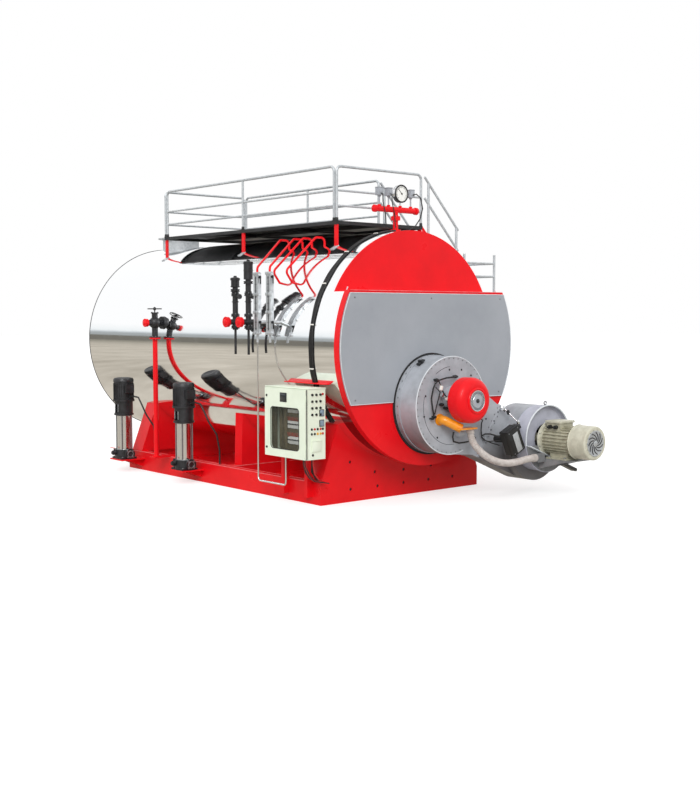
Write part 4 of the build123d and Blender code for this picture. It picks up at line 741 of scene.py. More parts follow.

# Burner drum: a painted highlight as a pale tube on its rim, screws, seam, lug, flange bolts round its side
drum = {"rimMm": 6, "screws": 34, "screwMm": 5.5, "seamMm": 2.4, "seamRadius": 0.43,
        "lug": (-0.293, -2.46, 1.556), "plateScrews": (
            (-0.04, 1.474), (0.149, 1.468), (0.749, 0.966), (0.684, 0.867), (0.628, 0.771), (-0.40, 1.20),
            (-0.42, 0.98), (-0.22, 0.74), (0.30, 1.40), (0.40, 1.28), (0.52, 1.05), (0.55, 0.90))}
drumAt = Vector((0, drumFront, burner.z))
build("drumRim", paleEdgeHighlight, (addTube, arc(drumAt + toRear * 0.002, drumRadius - 0.002, 120, 18, 290),
                            drum["rimMm"] / 1000))
bolts("drumRimScrews", aimed(arc(drumAt, drumRadius - 0.022, drum["screws"], 24, 285), toFront),
      drum["screwMm"], 4, 10)
bolts("plateScrews", aimed([(x, drumFront, z) for x, z in drum["plateScrews"]], toFront),
      8, 6, 6, blackCasting)
build("plateSeam", blackCasting, *[
    (addTube, arc(drumAt, drum["seamRadius"], count, first, last), drum["seamMm"] / 1000, 6)
    for count, first, last in ((70, 165, 275), (20, 95, 125))])
lug = Vector(drum["lug"])
lugTurn = tilted(degrees(atan2(lug.x, lug.z - burner.z)))
build("drumLug", blackCasting, (addBlock, lug, (0.10, 0.05, 0.02), 0.004, lugTurn),
      (addBlock, lug + toTop * 0.012, (0.03, 0.07, 0.03), 0.006, lugTurn))
bolts("drumFlangeBolts", spokes(drumAt + toRear * 0.285, drumRadius + 0.008, range(40, 290, 10)), 6, 5, 8)


# Burner plate fittings: bent conduit with knobs, air linkage, connectors, box and cables under the elbow
def fromDrum(*points):
    return [(x, drumFront + y, z) for x, y, z in points]


fittings = {"conduitMm": 9, "rodMm": 10, "knobMm": 16, "knobs": (
    (-0.300, 0.972, 1.0), (-0.335, 0.955, 0.8), (-0.19, 1.10, 1.1), (-0.13, 1.06, 0.9), (-0.27, 1.37, 1.2),
    (0.02, 1.398, 1.1))}
knob = fittings["knobMm"] / 1000
build("burnerConduit", blackPlastic, (addTube, fromDrum(
    (0.03, -0.06, 1.398), (-0.142, -0.06, 1.391), (-0.25, -0.055, 1.370), (-0.307, -0.05, 1.333),
    (-0.325, -0.04, 1.28), (-0.342, -0.03, 1.176), (-0.324, -0.03, 1.07), (-0.300, -0.028, 0.99)),
    fittings["conduitMm"] / 1000, 10), (addTube, fromDrum(
        (-0.25, -0.05, 1.36), (-0.21, -0.07, 1.25), (-0.16, -0.08, 1.18), (-0.12, -0.07, 1.05)), 0.007),
    (addTube, fromDrum(
        (-0.30, -0.05, 1.30), (-0.26, -0.08, 1.24), (-0.28, -0.05, 1.10), (-0.29, -0.03, 1.0)), 0.006),
    *[(addLathe, (x, drumFront, z), toFront, [
        (0, 0.062), (0.012 * size, 0.060), (knob * size, 0.050), (knob * size, 0.02), (0.012 * size, 0.012),
        (0.012 * size, 0)], 18) for x, z, size in fittings["knobs"]])
build("airLinkage", brightStainless,
      (addBlock, *fromDrum((-0.197, -0.05, 1.21)), (0.035, 0.05, 0.055), 0.006, tilted(30)),
      (addRod, *fromDrum((-0.25, -0.06, 1.33), (-0.13, -0.06, 1.13)), 0.006, 10),
      (addRod, *fromDrum((-0.197, 0, 1.21), (-0.197, -0.05, 1.21)), 0.012, 12))
build("wireConnectors", tieNylon,
      (addBlock, *fromDrum((-0.238, -0.075, 1.285)), (0.030, 0.030, 0.050), 0.005, tilted(20)),
      (addBlock, *fromDrum((-0.165, -0.085, 1.165)), (0.026, 0.026, 0.030), 0.005, tilted(-25)))
build("flangeBox", burnerGrey, (addBlock, (-0.010, -2.79, 0.782), (0.095, 0.075, 0.055), 0.006),
      (addBlock, (-0.010, -2.79, 0.752), (0.060, 0.050, 0.020), 0.004))
build("burnerCables", blackPlastic, (addTube, [
    (-0.120, -2.80, 0.810), (-0.135, -2.80, 0.755), (-0.122, -2.80, 0.704), (-0.036, -2.80, 0.681),
    (0.073, -2.80, 0.684), (0.183, -2.79, 0.693), (0.270, -2.75, 0.712), (0.30, -2.70, 0.72),
    (0.31, drumFront, 0.72)], fittings["rodMm"] / 1000, 10), (addTube, [
        (0.26, -2.80, 0.95), (0.40, -2.74, 0.90), (0.435, -2.69, 0.86), (0.445, -2.675, 0.78),
        (0.46, -2.672, 0.70), (0.52, -2.68, 0.655), (0.60, -2.70, 0.625), (0.66, -2.76, 0.60)], 0.0065),
    (addTube, [(0.452, -2.672, 0.712), (0.495, -2.69, 0.735), (0.555, -2.71, 0.733), (0.610, -2.75, 0.712),
               (0.655, -2.80, 0.690)], 0.009),
    (addTube, [(0.452, -2.672, 0.705), (0.485, -2.69, 0.664), (0.545, -2.71, 0.648), (0.605, -2.75, 0.655),
               (0.650, -2.80, 0.662)], 0.006))

# Motor cover: ring round a recessed disc with radial vanes and a black nut
cap = {"vanes": 36, "vaneMm": (26, 6, 4), "nutMm": 24}
hubFront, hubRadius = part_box("burner_hub")[0].y, span("burner_hub").z / 2
hubAt = Vector((0, hubFront, middle("burner_hub").z))
nut = cap["nutMm"] / 1000
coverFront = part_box("burner_motor_cover")[0].y
build("coverRing", redEnamel,
      (addRing, (0, coverFront - 0.001, hubAt.z), hubRadius + 0.016, 90, 0.013, "Y", 10))
bars("hubVanes", spokes(hubAt, hubRadius * 0.80, [360 * k / cap["vanes"] for k in range(cap["vanes"])]),
     *cap["vaneMm"], blackCasting)
build("hubNut", blackCasting, (addLathe, hubAt, toFront, [
    (0, 0.020), (0.010, 0.020), (0.014, 0.014), (nut, 0.008), (nut, 0)], 6))
build("hubRings", brightStainless, (addRing, hubAt, hubRadius * 0.60, 60, 0.0028, "Y", 6),
      (addRing, hubAt, hubRadius * 0.97, 60, 0.0045))

# Elbow: bolts on its flange, collar where it leaves the drum
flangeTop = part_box("burner_elbow")[0].z + 0.016
bolts("elbowBolts", aimed([(x, y, flangeTop) for x in (-0.105, 0.105) for y in (-2.89, -2.81)], toTop),
      9, 8)
build("elbowCollar", orangeEnamel,
      (addRod, *fromDrum((-0.190, 0.001, 0.935), (-0.190, -0.012, 0.935)), 0.064, 40))

# Fan: lip of the inlet as a painted highlight, shield and mouth of the inlet, lifting eye, duct flange with
# bolts, a painted shade strip and a painted highlight strip along the shelf of the scroll
fan = {"lipMm": 9, "lipStart": 188.7, "lipEnd": -40, "shieldEnd": 53.1, "eyeMm": 7, "flangeBolts": 8,
       "ductTurn": 33.2, "ductReach": 0.681, "mouthDepth": 0.062, "shelf": ((0.910, 0.590), (1.741, 0.248))}
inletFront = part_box("fan_inlet")[0].y
inlet = middle("fan_inlet")
inlet.y = inletFront
inletRadius = span("fan_inlet").z / 2 - 0.010
build("inletLip", paleEdgeHighlight, (addTube, arc(inlet, inletRadius + 0.004, 90, fan["lipEnd"], fan["lipStart"]),
                             fan["lipMm"] / 1000))
shieldLine = arc(inlet + toFront * 0.002, inletRadius - 0.003, 40, fan["lipStart"], 360 - fan["shieldEnd"])
build("inletShield", bracketShadeGrey, (addSheet, shieldLine, toFront * 0.006))
eyeAt = Vector((inlet.x, -2.90, inlet.z + inletRadius))
build("liftingEye", zincFastener, (addRing, eyeAt + toTop * 0.028, 0.020, 24, fan["eyeMm"] / 1000),
      (addRod, eyeAt - toTop * 0.004, eyeAt + toTop * 0.012, 0.014, 16))
ductAlong, ductUp = outward(-fan["ductTurn"]), outward(90 - fan["ductTurn"])
joint = drumAt + ductAlong * fan["ductReach"]
bolts("ductFlangeBolts", aimed([
    joint + ductUp * (-0.25 + 0.60 * k / (fan["flangeBolts"] - 1)) + ductAlong * side
    for k in range(fan["flangeBolts"]) for side in (-0.028, 0.028)], toFront), 6, 5)
build("ductFlange", burnerGrey, *[
    (addTube, [joint + ductUp * a + ductAlong * side + toFront * 0.002 for a in (-0.275, 0.378)], 0.004, 6)
    for side in (-0.009, 0.009)],
    (addBlock, joint + ductUp * 0.393 + toRear * 0.12, (0.030, 0.25, 0.024), 0.003,
     tilted(fan["ductTurn"])))
mouth, motorHole = fan["mouthDepth"], span("fan_motor_cowl").z / 2 - 0.026
build("inletMouth", inletPrimer, (addLathe, inlet, toRear, [
    (inletRadius - 0.010, 0.004), (inletRadius - 0.014, mouth * 0.7), (inletRadius - 0.030, mouth * 0.94),
    (inletRadius - 0.060, mouth), (motorHole, mouth), (motorHole, mouth + 0.008),
    (inletRadius - 0.060, mouth + 0.008), (inletRadius - 0.020, mouth * 0.98),
    (inletRadius - 0.013, 0.004)], 96))
shelfStart, shelfEnd = [Vector((x, inletFront - 0.012, z)) for x, z in fan["shelf"]]
shelf = shelfEnd - shelfStart
shelfTilt = tilted(degrees(atan2(-shelf.z, shelf.x)))
# painted shade: a black strip along the shelf for the shade under its edge; painted highlight: a pale strip
# for its lit edge
for name, material, share, thickness, rounding in (("shelfShadeStrip", blackCasting, 0.75, 0.036, 0.004),
                                                   ("shelfHighlightStrip", paleEdgeHighlight, 0.25, 0.012, 0.003)):
    size = (shelf.length * 0.5, 0.090, thickness)
    build(name, material, (addBlock, shelfStart.lerp(shelfEnd, share), size, rounding, shelfTilt))

# Fan motor: curved dark slots on a pale face, terminal lid, cable glands, foot bolts, rings and flange
motor = {"slots": 11, "slotSteps": 14, "slotSweep": 1.0, "lidY": -3.119, "flangeBolts": 8}
cowlAt, cowlRadius = middle("fan_motor_cowl"), span("fan_motor_cowl").z / 2
cowlFront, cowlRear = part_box("fan_motor_cowl")[0].y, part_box("fan_motor_cowl")[1].y
motorLow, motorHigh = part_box("fan_motor")


def cowlSlot(first):
    shares = [j / (motor["slotSteps"] - 1) for j in range(motor["slotSteps"])]
    return [Vector((cowlAt.x, cowlFront - 0.0045, cowlAt.z))
            + outward(degrees(first + motor["slotSweep"] * share)) * cowlRadius * (0.20 + 0.46 * share)
            for share in shares]


build("cowlSlots", blackCasting, *[
    (addTube, cowlSlot(2 * pi * k / motor["slots"]), 0.0058) for k in range(motor["slots"])])
build("cowlFace", satinAlloy, (addLathe, (cowlAt.x, cowlFront + 0.001, cowlAt.z), toFront, [
    (cowlRadius * share, along) for share, along in (
        (0.76, 0.0), (0.76, 0.005), (0.73, 0.007), (0.70, 0.005), (0.16, 0.005), (0.13, 0.009),
        (0, 0.010))]))
lidAt = Vector((cowlAt.x, motor["lidY"], motorHigh.z))
build("terminalLid", creamPaint, (addBlock, lidAt - toTop * 0.004, (0.262, 0.222, 0.026), 0.006),
      (addBlock, lidAt + toTop * 0.006, (0.226, 0.186, 0.012), 0.004))
bolts("terminalScrews", aimed([
    lidAt + Vector((x, y, 0.008)) for x in (-0.118, 0.118) for y in (-0.098, 0.098)], toTop), 6, 4, 10)
build("cableGlands", blackPlastic, *[step for y in (-0.05, 0.03) for step in (
    (addRod, lidAt + Vector((-0.11, y, -0.06)), lidAt + Vector((-0.16, y, -0.06)), 0.022, 12),
    (addRod, lidAt + Vector((-0.15, y, -0.06)), lidAt + Vector((-0.185, y, -0.062)), 0.015, 12, 0.010))])
bolts("motorFootBolts", aimed([(cowlAt.x + x, y, motorLow.z + 0.018) for x in (-0.115, 0.115)
                               for y in (-3.29, -3.07)], toTop), 13, 13)
flangeAt = Vector((cowlAt.x, motorHigh.y - 0.180, cowlAt.z))
build("motorRings", creamPaint,
      (addTube, arc((cowlAt.x, cowlRear + 0.004, cowlAt.z), cowlRadius + 0.001, 80, 0, 355), 0.006, 8,
       True),
      (addTube, arc(flangeAt + toFront * 0.025, 0.178, 80, 0, 355), 0.008, 8, True),
      (addLathe, flangeAt, toFront, [
          (0.060, 0.0), (0.196, 0.0), (0.200, 0.004), (0.200, 0.018), (0.196, 0.022), (0.168, 0.024),
          (0.150, 0.034)], 72))
bolts("motorFlangeBolts", aimed(
    ring(flangeAt + toFront * 0.022, 0.183, motor["flangeBolts"], "Y", 22.5), toFront), 8, 8)

# Damper actuator: bare plate, lid with its seam and screws, linkage to the duct
damper = {"centre": (0.715, 0.665), "tilt": -25}
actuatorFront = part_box("damper_actuator")[0].y
tilt = tilted(damper["tilt"])
damperX, damperZ = damper["centre"]
build("actuatorPlate", barePlate,
      (addBlock, (0.735, actuatorFront - 0.003, 0.650), (0.085, 0.006, 0.225), 0.002, tilt))
build("actuatorLid", blackPlastic,
      (addBlock, (damperX, actuatorFront + 0.045, damperZ), (0.207, 0.008, 0.307), 0.003, tilt),
      (addBlock, (damperX, actuatorFront + 0.001, damperZ), (0.176, 0.008, 0.276), 0.003, tilt))
bolts("actuatorScrews", aimed([
    tilt @ Vector((x, 0, z)) + Vector((damperX, actuatorFront - 0.002, damperZ))
    for x in (-0.078, 0.078) for z in (-0.128, 0.128)], toFront), 6, 4, 10)
build("damperLinkage", brightStainless, (addRod, (0.798, -2.70, 1.008), (0.845, -2.88, 0.850), 0.008, 12),
      (addRod, (0.78, drumFront, 0.99), (0.78, -2.72, 0.99), 0.016, 16),
      (addBlock, (0.79, -2.705, 1.00), (0.045, 0.016, 0.06), 0.004, tilted(35)),
      (addBlock, (0.84, -2.88, 0.845), (0.035, 0.024, 0.075), 0.004, tilt),
      (addRod, (0.83, -2.88, 0.80), (0.80, -2.88, 0.775), 0.014, 14))
build("damperJoints", blackCasting, (addBlock, (0.812, -2.75, 0.965), (0.03, 0.03, 0.05), 0.005, tilt),
      (addBlock, (0.775, -2.88, 0.80), (0.11, 0.10, 0.05), 0.006, tilt))
print("burner and fan dressed")

# Cable bundle: strands side by side round the cladding, with nylon ties
bundle = {"strandsMm": (15, 12, 15, 11), "steps": 90, "ties": 6}
bundleLow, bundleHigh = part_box("cable_bundle")
bundleFoot = bundleLow.z - shellAxis.z
highTurn = degrees(atan2(bundleHigh.z - shellAxis.z, bundleHigh.x))
lowTurn = 180 - degrees(atan2(bundleFoot, halfChord(shellRadius, bundleFoot)))
strands, place = [], bundleLow.y + 0.004
for strandMm in bundle["strandsMm"]:
    r = strandMm / 2000 + 0.001
    place += r
    path = arc((0, place, shellAxis.z), shellRadius + r + 0.0015, bundle["steps"] + 1, highTurn, lowTurn)
    for k, point in enumerate(path):
        point.y += 0.004 * sin(k * 0.23 + strandMm) + 0.003 * sin(k * 0.51 + 2 * strandMm)
    strands.append((addTube, path, r))
    place += r + 0.002
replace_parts(build("cableStrands", blackPlastic, *strands), "cable_bundle")
tieTurns = [highTurn + (lowTurn - highTurn) * (k + 0.6) / bundle["ties"] for k in range(bundle["ties"])]
tieAt = Vector((0, (bundleLow.y + bundleHigh.y) / 2 - 0.004, shellAxis.z))
build("cableTies", tieNylon, *[
    (addBlock, tieAt + outward(turn) * (shellRadius + 0.019), (0.008, 0.066, 0.014), 0.002, tilted(-turn))
    for turn in tieTurns])

# Walkway: raised lozenges on every plate, black boots under the posts, foot brackets under the legs
plate = {"pitch": 0.062, "lozenge": (0.040, 0.013, 0.0028), "bootMm": 24, "bootHeight": 0.034}


def lozenges(low, high, top):
    places = []
    across, along = [int((high[i] - low[i]) / plate["pitch"]) for i in range(2)]
    for i in range(across):
        for j in range(along):
            x = low[0] + (i + 0.5) * (high[0] - low[0]) / across
            y = low[1] + (j + 0.5) * (high[1] - low[1]) / along
            places.append((Vector((x, y, top)), Vector((1, 1 if (i + j) % 2 else -1, 0)).normalized()))
    return places


def treadPlate(name, places, material):
    length, width, height = plate["lozenge"]
    grow(name, lozengeTree, pointMesh(places), material, {
        "Lozenge Length": length, "Lozenge Width": width, "Lozenge Height": height})


deckLow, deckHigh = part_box("walkway_deck")
treadPlate("deckLozenges", lozenges(deckLow, deckHigh, deckHigh.z), deckPaint)
landingLow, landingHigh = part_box("landing_floor")
treadPlate("landingLozenges", lozenges(landingLow, landingHigh, landingHigh.z), galvanised)
treads = nodes["stair_treads"].data
treadPlaces, treadsDone = [], set()
for face in treads.polygons:
    corners = [treads.vertices[i].co for i in face.vertices]
    low = [min(c[i] for c in corners) for i in range(2)]
    high = [max(c[i] for c in corners) for i in range(2)]
    key = tuple(round(v, 3) for v in (*low, *high, corners[0].z))
    wide = min(high[0] - low[0], high[1] - low[1]) > 2 * plate["pitch"]
    if face.normal.z > 0.9 and wide and key not in treadsDone:
        treadsDone.add(key)
        treadPlaces += lozenges(low, high, corners[0].z)
if treadPlaces:
    treadPlate("treadLozenges", treadPlaces, galvanised)
print("lozenges on treads:", len(treadPlaces))
railX, frontY, rearY = deckHigh.x - 0.0155, deckLow.y, deckHigh.y
gateY, midY = frontY + 0.7755, (deckLow.y + deckHigh.y) / 2
postPlaces = [(-railX, y) for y in (frontY + 0.062, rearY - 0.062, frontY + 0.0155, rearY - 0.0155)]
postPlaces += [(railX, y) for y in (rearY - 0.062, frontY + 0.0155, rearY - 0.0155)]
postPlaces += [(-railX, midY), (railX, (gateY + rearY - 0.062) / 2), (railX, gateY)]
boot, bootTop = plate["bootMm"] / 1000, plate["bootHeight"]
build("postBoots", blackPlastic, *[(addLathe, (x, y, deckHigh.z), toTop, [
    (0, 0), (boot, 0), (boot, 0.006), (0.0185, 0.010), (0.0185, bootTop), (0.0157, bootTop + 0.004)], 20)
    for x, y in postPlaces])
legX = deckHigh.x - 0.022
footZ, boltX = shellAxis.z + halfChord(shellRadius, legX), legX + 0.055
slope = degrees(atan2(legX, footZ - shellAxis.z))
boltZ = shellAxis.z + halfChord(shellRadius, boltX) + 0.004
legPlaces = [(side, y) for side in (-1, 1) for y in (frontY + 0.03, midY, rearY - 0.03)]
build("legFeet", galvanised, *[
    (addBlock, (side * (legX + 0.03), y, footZ - 0.014), (0.10, 0.062, 0.007), 0.002, tilted(side * slope))
    for side, y in legPlaces])
bolts("legFootBolts", [
    (Vector((side * boltX, y, boltZ)), Vector((side * 0.55, 0, 0.83))) for side, y in legPlaces], 8, 7)

# Level gauges: two tubes in each body, cover bolts, cocks with levers; rings and bolts on the columns
level = {"x": -1.420, "tubeMm": 15, "boltRows": 9, "gauges": (-0.995, -1.230), "columns": (-0.560, -0.820)}
levelX, tubeX = level["x"], level["x"] - 0.010
tubes, slotsDark, coverPlaces = [], [], []
for y in level["gauges"]:
    for side in (-1, 1):
        tubeY = y + side * 0.024
        tubes.append((addRod, (tubeX, tubeY, 1.880), (tubeX, tubeY, 2.520), level["tubeMm"] / 1000, 20))
        tubes += [(addBlock, (levelX - 0.012, y + side * 0.026, z), (0.046, 0.040, 0.034), 0.005)
                  for z in (1.868, 2.100, 2.300, 2.530)]
    slotsDark.append((addBlock, (levelX - 0.024, y, 2.20), (0.004, 0.012, 0.60), 0.001))
    coverPlaces += aimed([(levelX - 0.023, y + side * 0.0105, 1.92 + k * 0.070)
                          for k in range(level["boltRows"]) for side in (-1, 1)], toLeft)
    for z in (1.990, 2.49):
        slotsDark += [(addRod, (levelX, y - 0.055, z), (levelX, y - 0.030, z), 0.016, 16),
                      (addBlock, (levelX, y - 0.062, z - 0.03), (0.012, 0.014, 0.09), 0.004)]
build("gaugeTubes", satinAlloy, *tubes)
build("gaugeSlots", blackCasting, *slotsDark)
bolts("gaugeBolts", coverPlaces, 4.5, 5)
bolts("columnBolts", [spot for y in level["columns"] for z in (2.080, 1.946, 2.316)
                      for spot in aimed(ring((levelX, y, z), 0.040, 6, "Z"), toTop)], 6, 8)
columnSteps = []
for y, top, capFoot in zip(level["columns"], (2.495, 2.670), (2.385, 2.470)):
    for z in (top - 0.012, top - 0.10, 2.33, 2.22, 1.93):
        r = 0.050 if z > top - 0.11 else 0.036
        columnSteps.append((addTube, arc((levelX, y, z), r, 32, 0, 349, "Z"), 0.006, 8, True))
    for z, r in ((capFoot - 0.034, 0.052), (2.300, 0.046), (1.930, 0.048)):
        columnSteps.append((addLathe, (levelX, y, z), toTop, [
            (0.030, -0.016), (r, -0.016), (r, -0.003), (r * 0.9, -0.002), (r * 0.9, 0.002), (r, 0.003),
            (r, 0.016), (0.030, 0.016)], 36))
    columnSteps += [
        (addLathe, (levelX, y, top), toTop, [
            (0.050, -0.03), (0.056, -0.028), (0.056, -0.006), (0.046, 0.001), (0.020, 0.006),
            (0.018, 0.022), (0, 0.024)], 36),
        (addRod, (levelX, y - 0.03, 2.28), (levelX, y - 0.085, 2.28), 0.022, 16),
        (addRod, (levelX, y - 0.075, 2.28), (levelX, y - 0.095, 2.28), 0.030, 8)]
build("columnRings", blackCasting, *columnSteps)
capPlaces = [(levelX - 0.140, y, 1.990, 0.058) for y in level["columns"]] + [(-1.550, 1.270, 1.970, 0.050)]
build("capBeads", redEnamel, *[step for x, y, z, r in capPlaces for step in (
    (addRing, (x + 0.006, y, z), r - 0.004, 40, 0.008, "X"),
    (addLathe, (x, y, z), toLeft, [(0, 0.010), (r * 0.45, 0.008), (r * 0.6, 0.002), (r * 0.62, 0)], 28))])

# Feed line and pumps: flange bolts, ribs and rings on the motors, valves with red levers, cables, guards
pump = {"places": ((-1.450, 2.010), (-1.420, 0.570)), "ribs": 30, "ribMm": (7, 4, 230), "portZ": 0.236,
        "guardRadius": 0.112, "guardTurns": (25, 65, 115, 155, 205, 240, 295, 335)}
feedX, feedY, portZ = -1.400, 1.270, pump["portZ"]
bolts("feedValveBolts", aimed(ring((feedX, feedY, 1.796), 0.054, 8, "Z", 22.5), toTop)
      + aimed(ring((feedX, feedY, 1.764), 0.054, 8, "Z", 22.5), -toTop)
      + aimed(ring((feedX, feedY, 2.102), 0.040, 6, "Z"), toTop), 7, 8)
ribPlaces, footPlaces, portPlaces = [], [], []
valves, cables, rings, levers, motorTops, guards = [], [], [], [], [], []
for x, y in pump["places"]:
    ribPlaces += spokes((x, y, 1.055), 0.131, [360 * k / pump["ribs"] for k in range(pump["ribs"])], "Z")
    footPlaces += aimed([(x + dx, y + dy, 0.188) for dx in (-0.09, 0.09) for dy in (-0.11, 0.11)], toTop)
    for side, facing in ((-0.160, toFront), (0.160, toRear)):
        portPlaces += aimed(ring((x, y + side, portZ), 0.055, 4, "Y", 45), facing)
        valves.append((addLathe, (x, y + side, portZ), facing, [
            (0.034, 0.001), (0.034, 0.004), (0.026, 0.004), (0.024, 0.0015), (0, 0.0015)], 28))
    valves += [(addRod, (x - 0.112, y + 0.02, 0.250), (x - 0.175, y + 0.02, 0.250), 0.024, 8),
               (addRod, (x - 0.125, y + 0.02, 0.250), (x - 0.160, y + 0.02, 0.250), 0.032, 20),
               (addRod, (x - 0.142, y + 0.02, 0.270), (x - 0.142, y + 0.02, 0.310), 0.008, 10)]
    cables += [(addTube, [(x + dx, y - dy, z) for dx, dy, z in (
        (0.02, 0.125, 0.985), (0.03, 0.19, 1.005), (0.06, 0.28, 0.99), (0.08, 0.33, 0.90),
        (0.12, 0.37, 0.77), (0.20, 0.42, 0.62), (0.235, 0.43, 0.42), (0.235, 0.43, 0.252))], 0.011),
               (addLathe, (x + 0.02, y - 0.118, 0.985), toFront, [
                   (0.018, 0), (0.018, 0.012), (0.012, 0.022), (0.008, 0.026)], 16)]
    rings += [(addTube, arc((x, y + side, portZ), 0.040, 28, 0, 347), 0.006, 8, True)
              for side in (-0.1605, 0.1605)]
    rings += [(addRing, (x, y, z), 0.094, 40, 0.006, "Z") for z in (0.288, 0.742)]
    levers.append((addBlock, (x - 0.142, y + 0.065, 0.312), (0.018, 0.12, 0.006), 0.002))
    motorTops += [(addLathe, (x, y, z), toTop, outline, 48) for z, outline in (
        (1.236, [(0.128, -0.055), (0.133, -0.052), (0.133, -0.018), (0.120, 0.001), (0.085, 0.008),
                 (0.080, 0.005), (0, 0.005)]),
        (0.926, [(0.128, 0.03), (0.142, 0.028), (0.142, 0.004), (0.118, 0.002)]),
        (0.746, [(0.118, 0.024), (0.128, 0.022), (0.128, 0.002), (0.110, 0.001)]))]
    guards += [(addBlock, Vector((x, y, 0.842)) + outward(turn, "Z") * pump["guardRadius"],
                (0.006, 0.030, 0.105), 0.002, tilted(turn, "Z")) for turn in pump["guardTurns"]]
bars("pumpMotorRibs", ribPlaces, *pump["ribMm"], blackCasting)
bolts("pumpFootBolts", footPlaces, 10, 10)
bolts("pumpPortBolts", portPlaces, 9, 9)
build("pumpValves", blackCasting, *valves)
build("pumpCables", blackPlastic, *cables)
build("pumpRings", zincFastener, *rings)
build("pumpLevers", redEnamel, *levers)
build("pumpMotorTops", blackCasting, *motorTops)
build("pumpGuards", satinAlloy, *guards)
print("walkway, gauges and pumps dressed")

# Control cabinet: window seal, display, locks, gear behind the glass, meters, lamps, pocket, covers, looms
cabinet = {"frameMm": 9, "window": (0.250, 0.225, 0.040), "lockMm": 11, "lampMm": 9,
           "modules": 9, "looms": 9, "meter": (0.050, 0.060), "meters": (1.035, 0.925),
           "gearRows": (0.715, 0.885, 1.055)}
shellLow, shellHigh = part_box("cabinet_shell")
doorLow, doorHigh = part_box("cabinet_door")
doorFace = doorLow.x
window = middle("cabinet_window")
halfW, halfH, corner = cabinet["window"]
frameLine = []
for sideY, sideZ, first in ((1, 1, 0), (-1, 1, 90), (-1, -1, 180), (1, -1, 270)):
    centre = (doorFace, window.y + sideY * (halfW - corner), window.z + sideZ * (halfH - corner))
    frameLine += arc(centre, corner, 9, first, first + 90, "X")
build("windowSeal", blackPlastic, (addTube, frameLine, cabinet["frameMm"] / 2000, 8, True),
      body="cabinet_door")
displayAt = Vector((doorFace, window.y + 0.02, doorHigh.z - 0.098))
build("displayBezel", blackPlastic, (addBlock, displayAt + toLeft * 0.002, (0.008, 0.118, 0.100)),
      body="cabinet_door")
build("displayGlass", displayDark, (addBlock, displayAt + toLeft * 0.0065, (0.003, 0.092, 0.074), 0.001),
      body="cabinet_door")
lock = cabinet["lockMm"] / 1000
lockOutline = [(0, 0.005), (0.004, 0.005), (0.005, 0.008), (lock, 0.007), (lock + 0.003, 0)]
build("doorLocks", blackPlastic, *[
    (addLathe, (doorFace, doorHigh.y - 0.035, z), toLeft, lockOutline, 24)
    for z in (doorLow.z + 0.09, doorHigh.z - 0.09)], body="cabinet_door")
gearFace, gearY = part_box("cabinet_internals")[0].x, middle("cabinet_internals").y
modules, toggles, wires = [], [], []
for row, z in enumerate(cabinet["gearRows"]):
    for k in range(cabinet["modules"]):
        y = gearY - 0.120 + k * 0.027
        tall = 0.080 if (k + row) % 4 else 0.064
        modules.append((addBlock, (gearFace - 0.014, y, z), (0.03, 0.0235, tall), 0.002))
        toggles.append((addBlock, (gearFace - 0.034, y, z + 0.006), (0.014, 0.010, 0.016), 0.002))
        wires.append((addTube, [(gearFace - 0.012, y, z + 0.04), (gearFace - 0.03, y + 0.004, z + 0.065),
                                (gearFace - 0.028, y + 0.012, z + 0.085)], 0.003, 6))
build("gearModules", dialCard, *modules)
build("gearBoard", gearBoardCoat,
      (addBlock, (gearFace - 0.002, gearY, window.z), (0.005, 0.56, 0.52), 0.001),
      (addBlock, (gearFace - 0.060, shellHigh.y - 0.030, window.z), (0.115, 0.005, 0.60), 0.001),
      (addBlock, (gearFace - 0.018, gearY + 0.145, window.z), (0.030, 0.036, 0.46)),
      (addBlock, (gearFace - 0.018, gearY + 0.235, window.z), (0.030, 0.036, 0.46)),
      (addBlock, (gearFace - 0.018, gearY - 0.02, window.z + 0.215), (0.030, 0.46, 0.030)))
build("gearToggles", blackPlastic, *toggles)
build("gearWires", lampRed, *wires)
sideFace, meterX = -2.050, -1.352
meterW, meterH = cabinet["meter"]
build("meterFrames", blackPlastic, *[
    (addBlock, (meterX, sideFace - 0.004, z), (meterW + 0.012, 0.012, meterH + 0.012))
    for z in cabinet["meters"]])
build("meterFaces", meterGlass, *[
    (addBlock, (meterX, sideFace - 0.0105, z), (meterW, 0.003, meterH), 0.001) for z in cabinet["meters"]])
lampRows = {"red": [], "amber": [], "black": []}
for x, upper, lower in ((-1.485, "black", "black"), (-1.445, "red", "black"), (-1.405, "black", "amber"),
                        (-1.365, "red", "amber"), (-1.335, "black", "red")):
    lampRows[upper].append((x, sideFace, 0.865))
    lampRows[lower].append((x, sideFace, 0.815))
lampRows["red"].append((-1.335, sideFace, 1.235))
for name, row, heightMm, material in (
        ("lampsRed", "red", 10, lampRed), ("lampsAmber", "amber", 10, lampAmber),
        ("switchKnobs", "black", 12, blackPlastic)):
    bolts(name, aimed(lampRows[row], toFront), cabinet["lampMm"], heightMm, 16, material)
build("documentPocket", cabinetCoat, (addBlock, (-1.425, sideFace - 0.006, 0.685), (0.120, 0.012, 0.120)),
      (addBlock, (-1.425, sideFace - 0.010, 0.741), (0.126, 0.018, 0.010)))
build("sideLock", blackPlastic, (addLathe, (-1.470, sideFace, 0.590), toFront, lockOutline, 24))
shellMidZ, shellTall = (shellLow.z + shellHigh.z) / 2, shellHigh.z - shellLow.z
build("cabinetSeal", blackPlastic, *[
    (addBlock, (shellLow.x + 0.006, y, shellMidZ), (0.010, 0.005, shellTall - 0.01), 0.001)
    for y in (shellLow.y - 0.0005, shellHigh.y + 0.0005)])
build("rainCover", cabinetCoat,
      (addBlock, (shellLow.x + 0.142, -1.690, shellHigh.z + 0.006), (0.270, 0.740, 0.010)))
glandPlaces, looms, redLooms = [], [], []
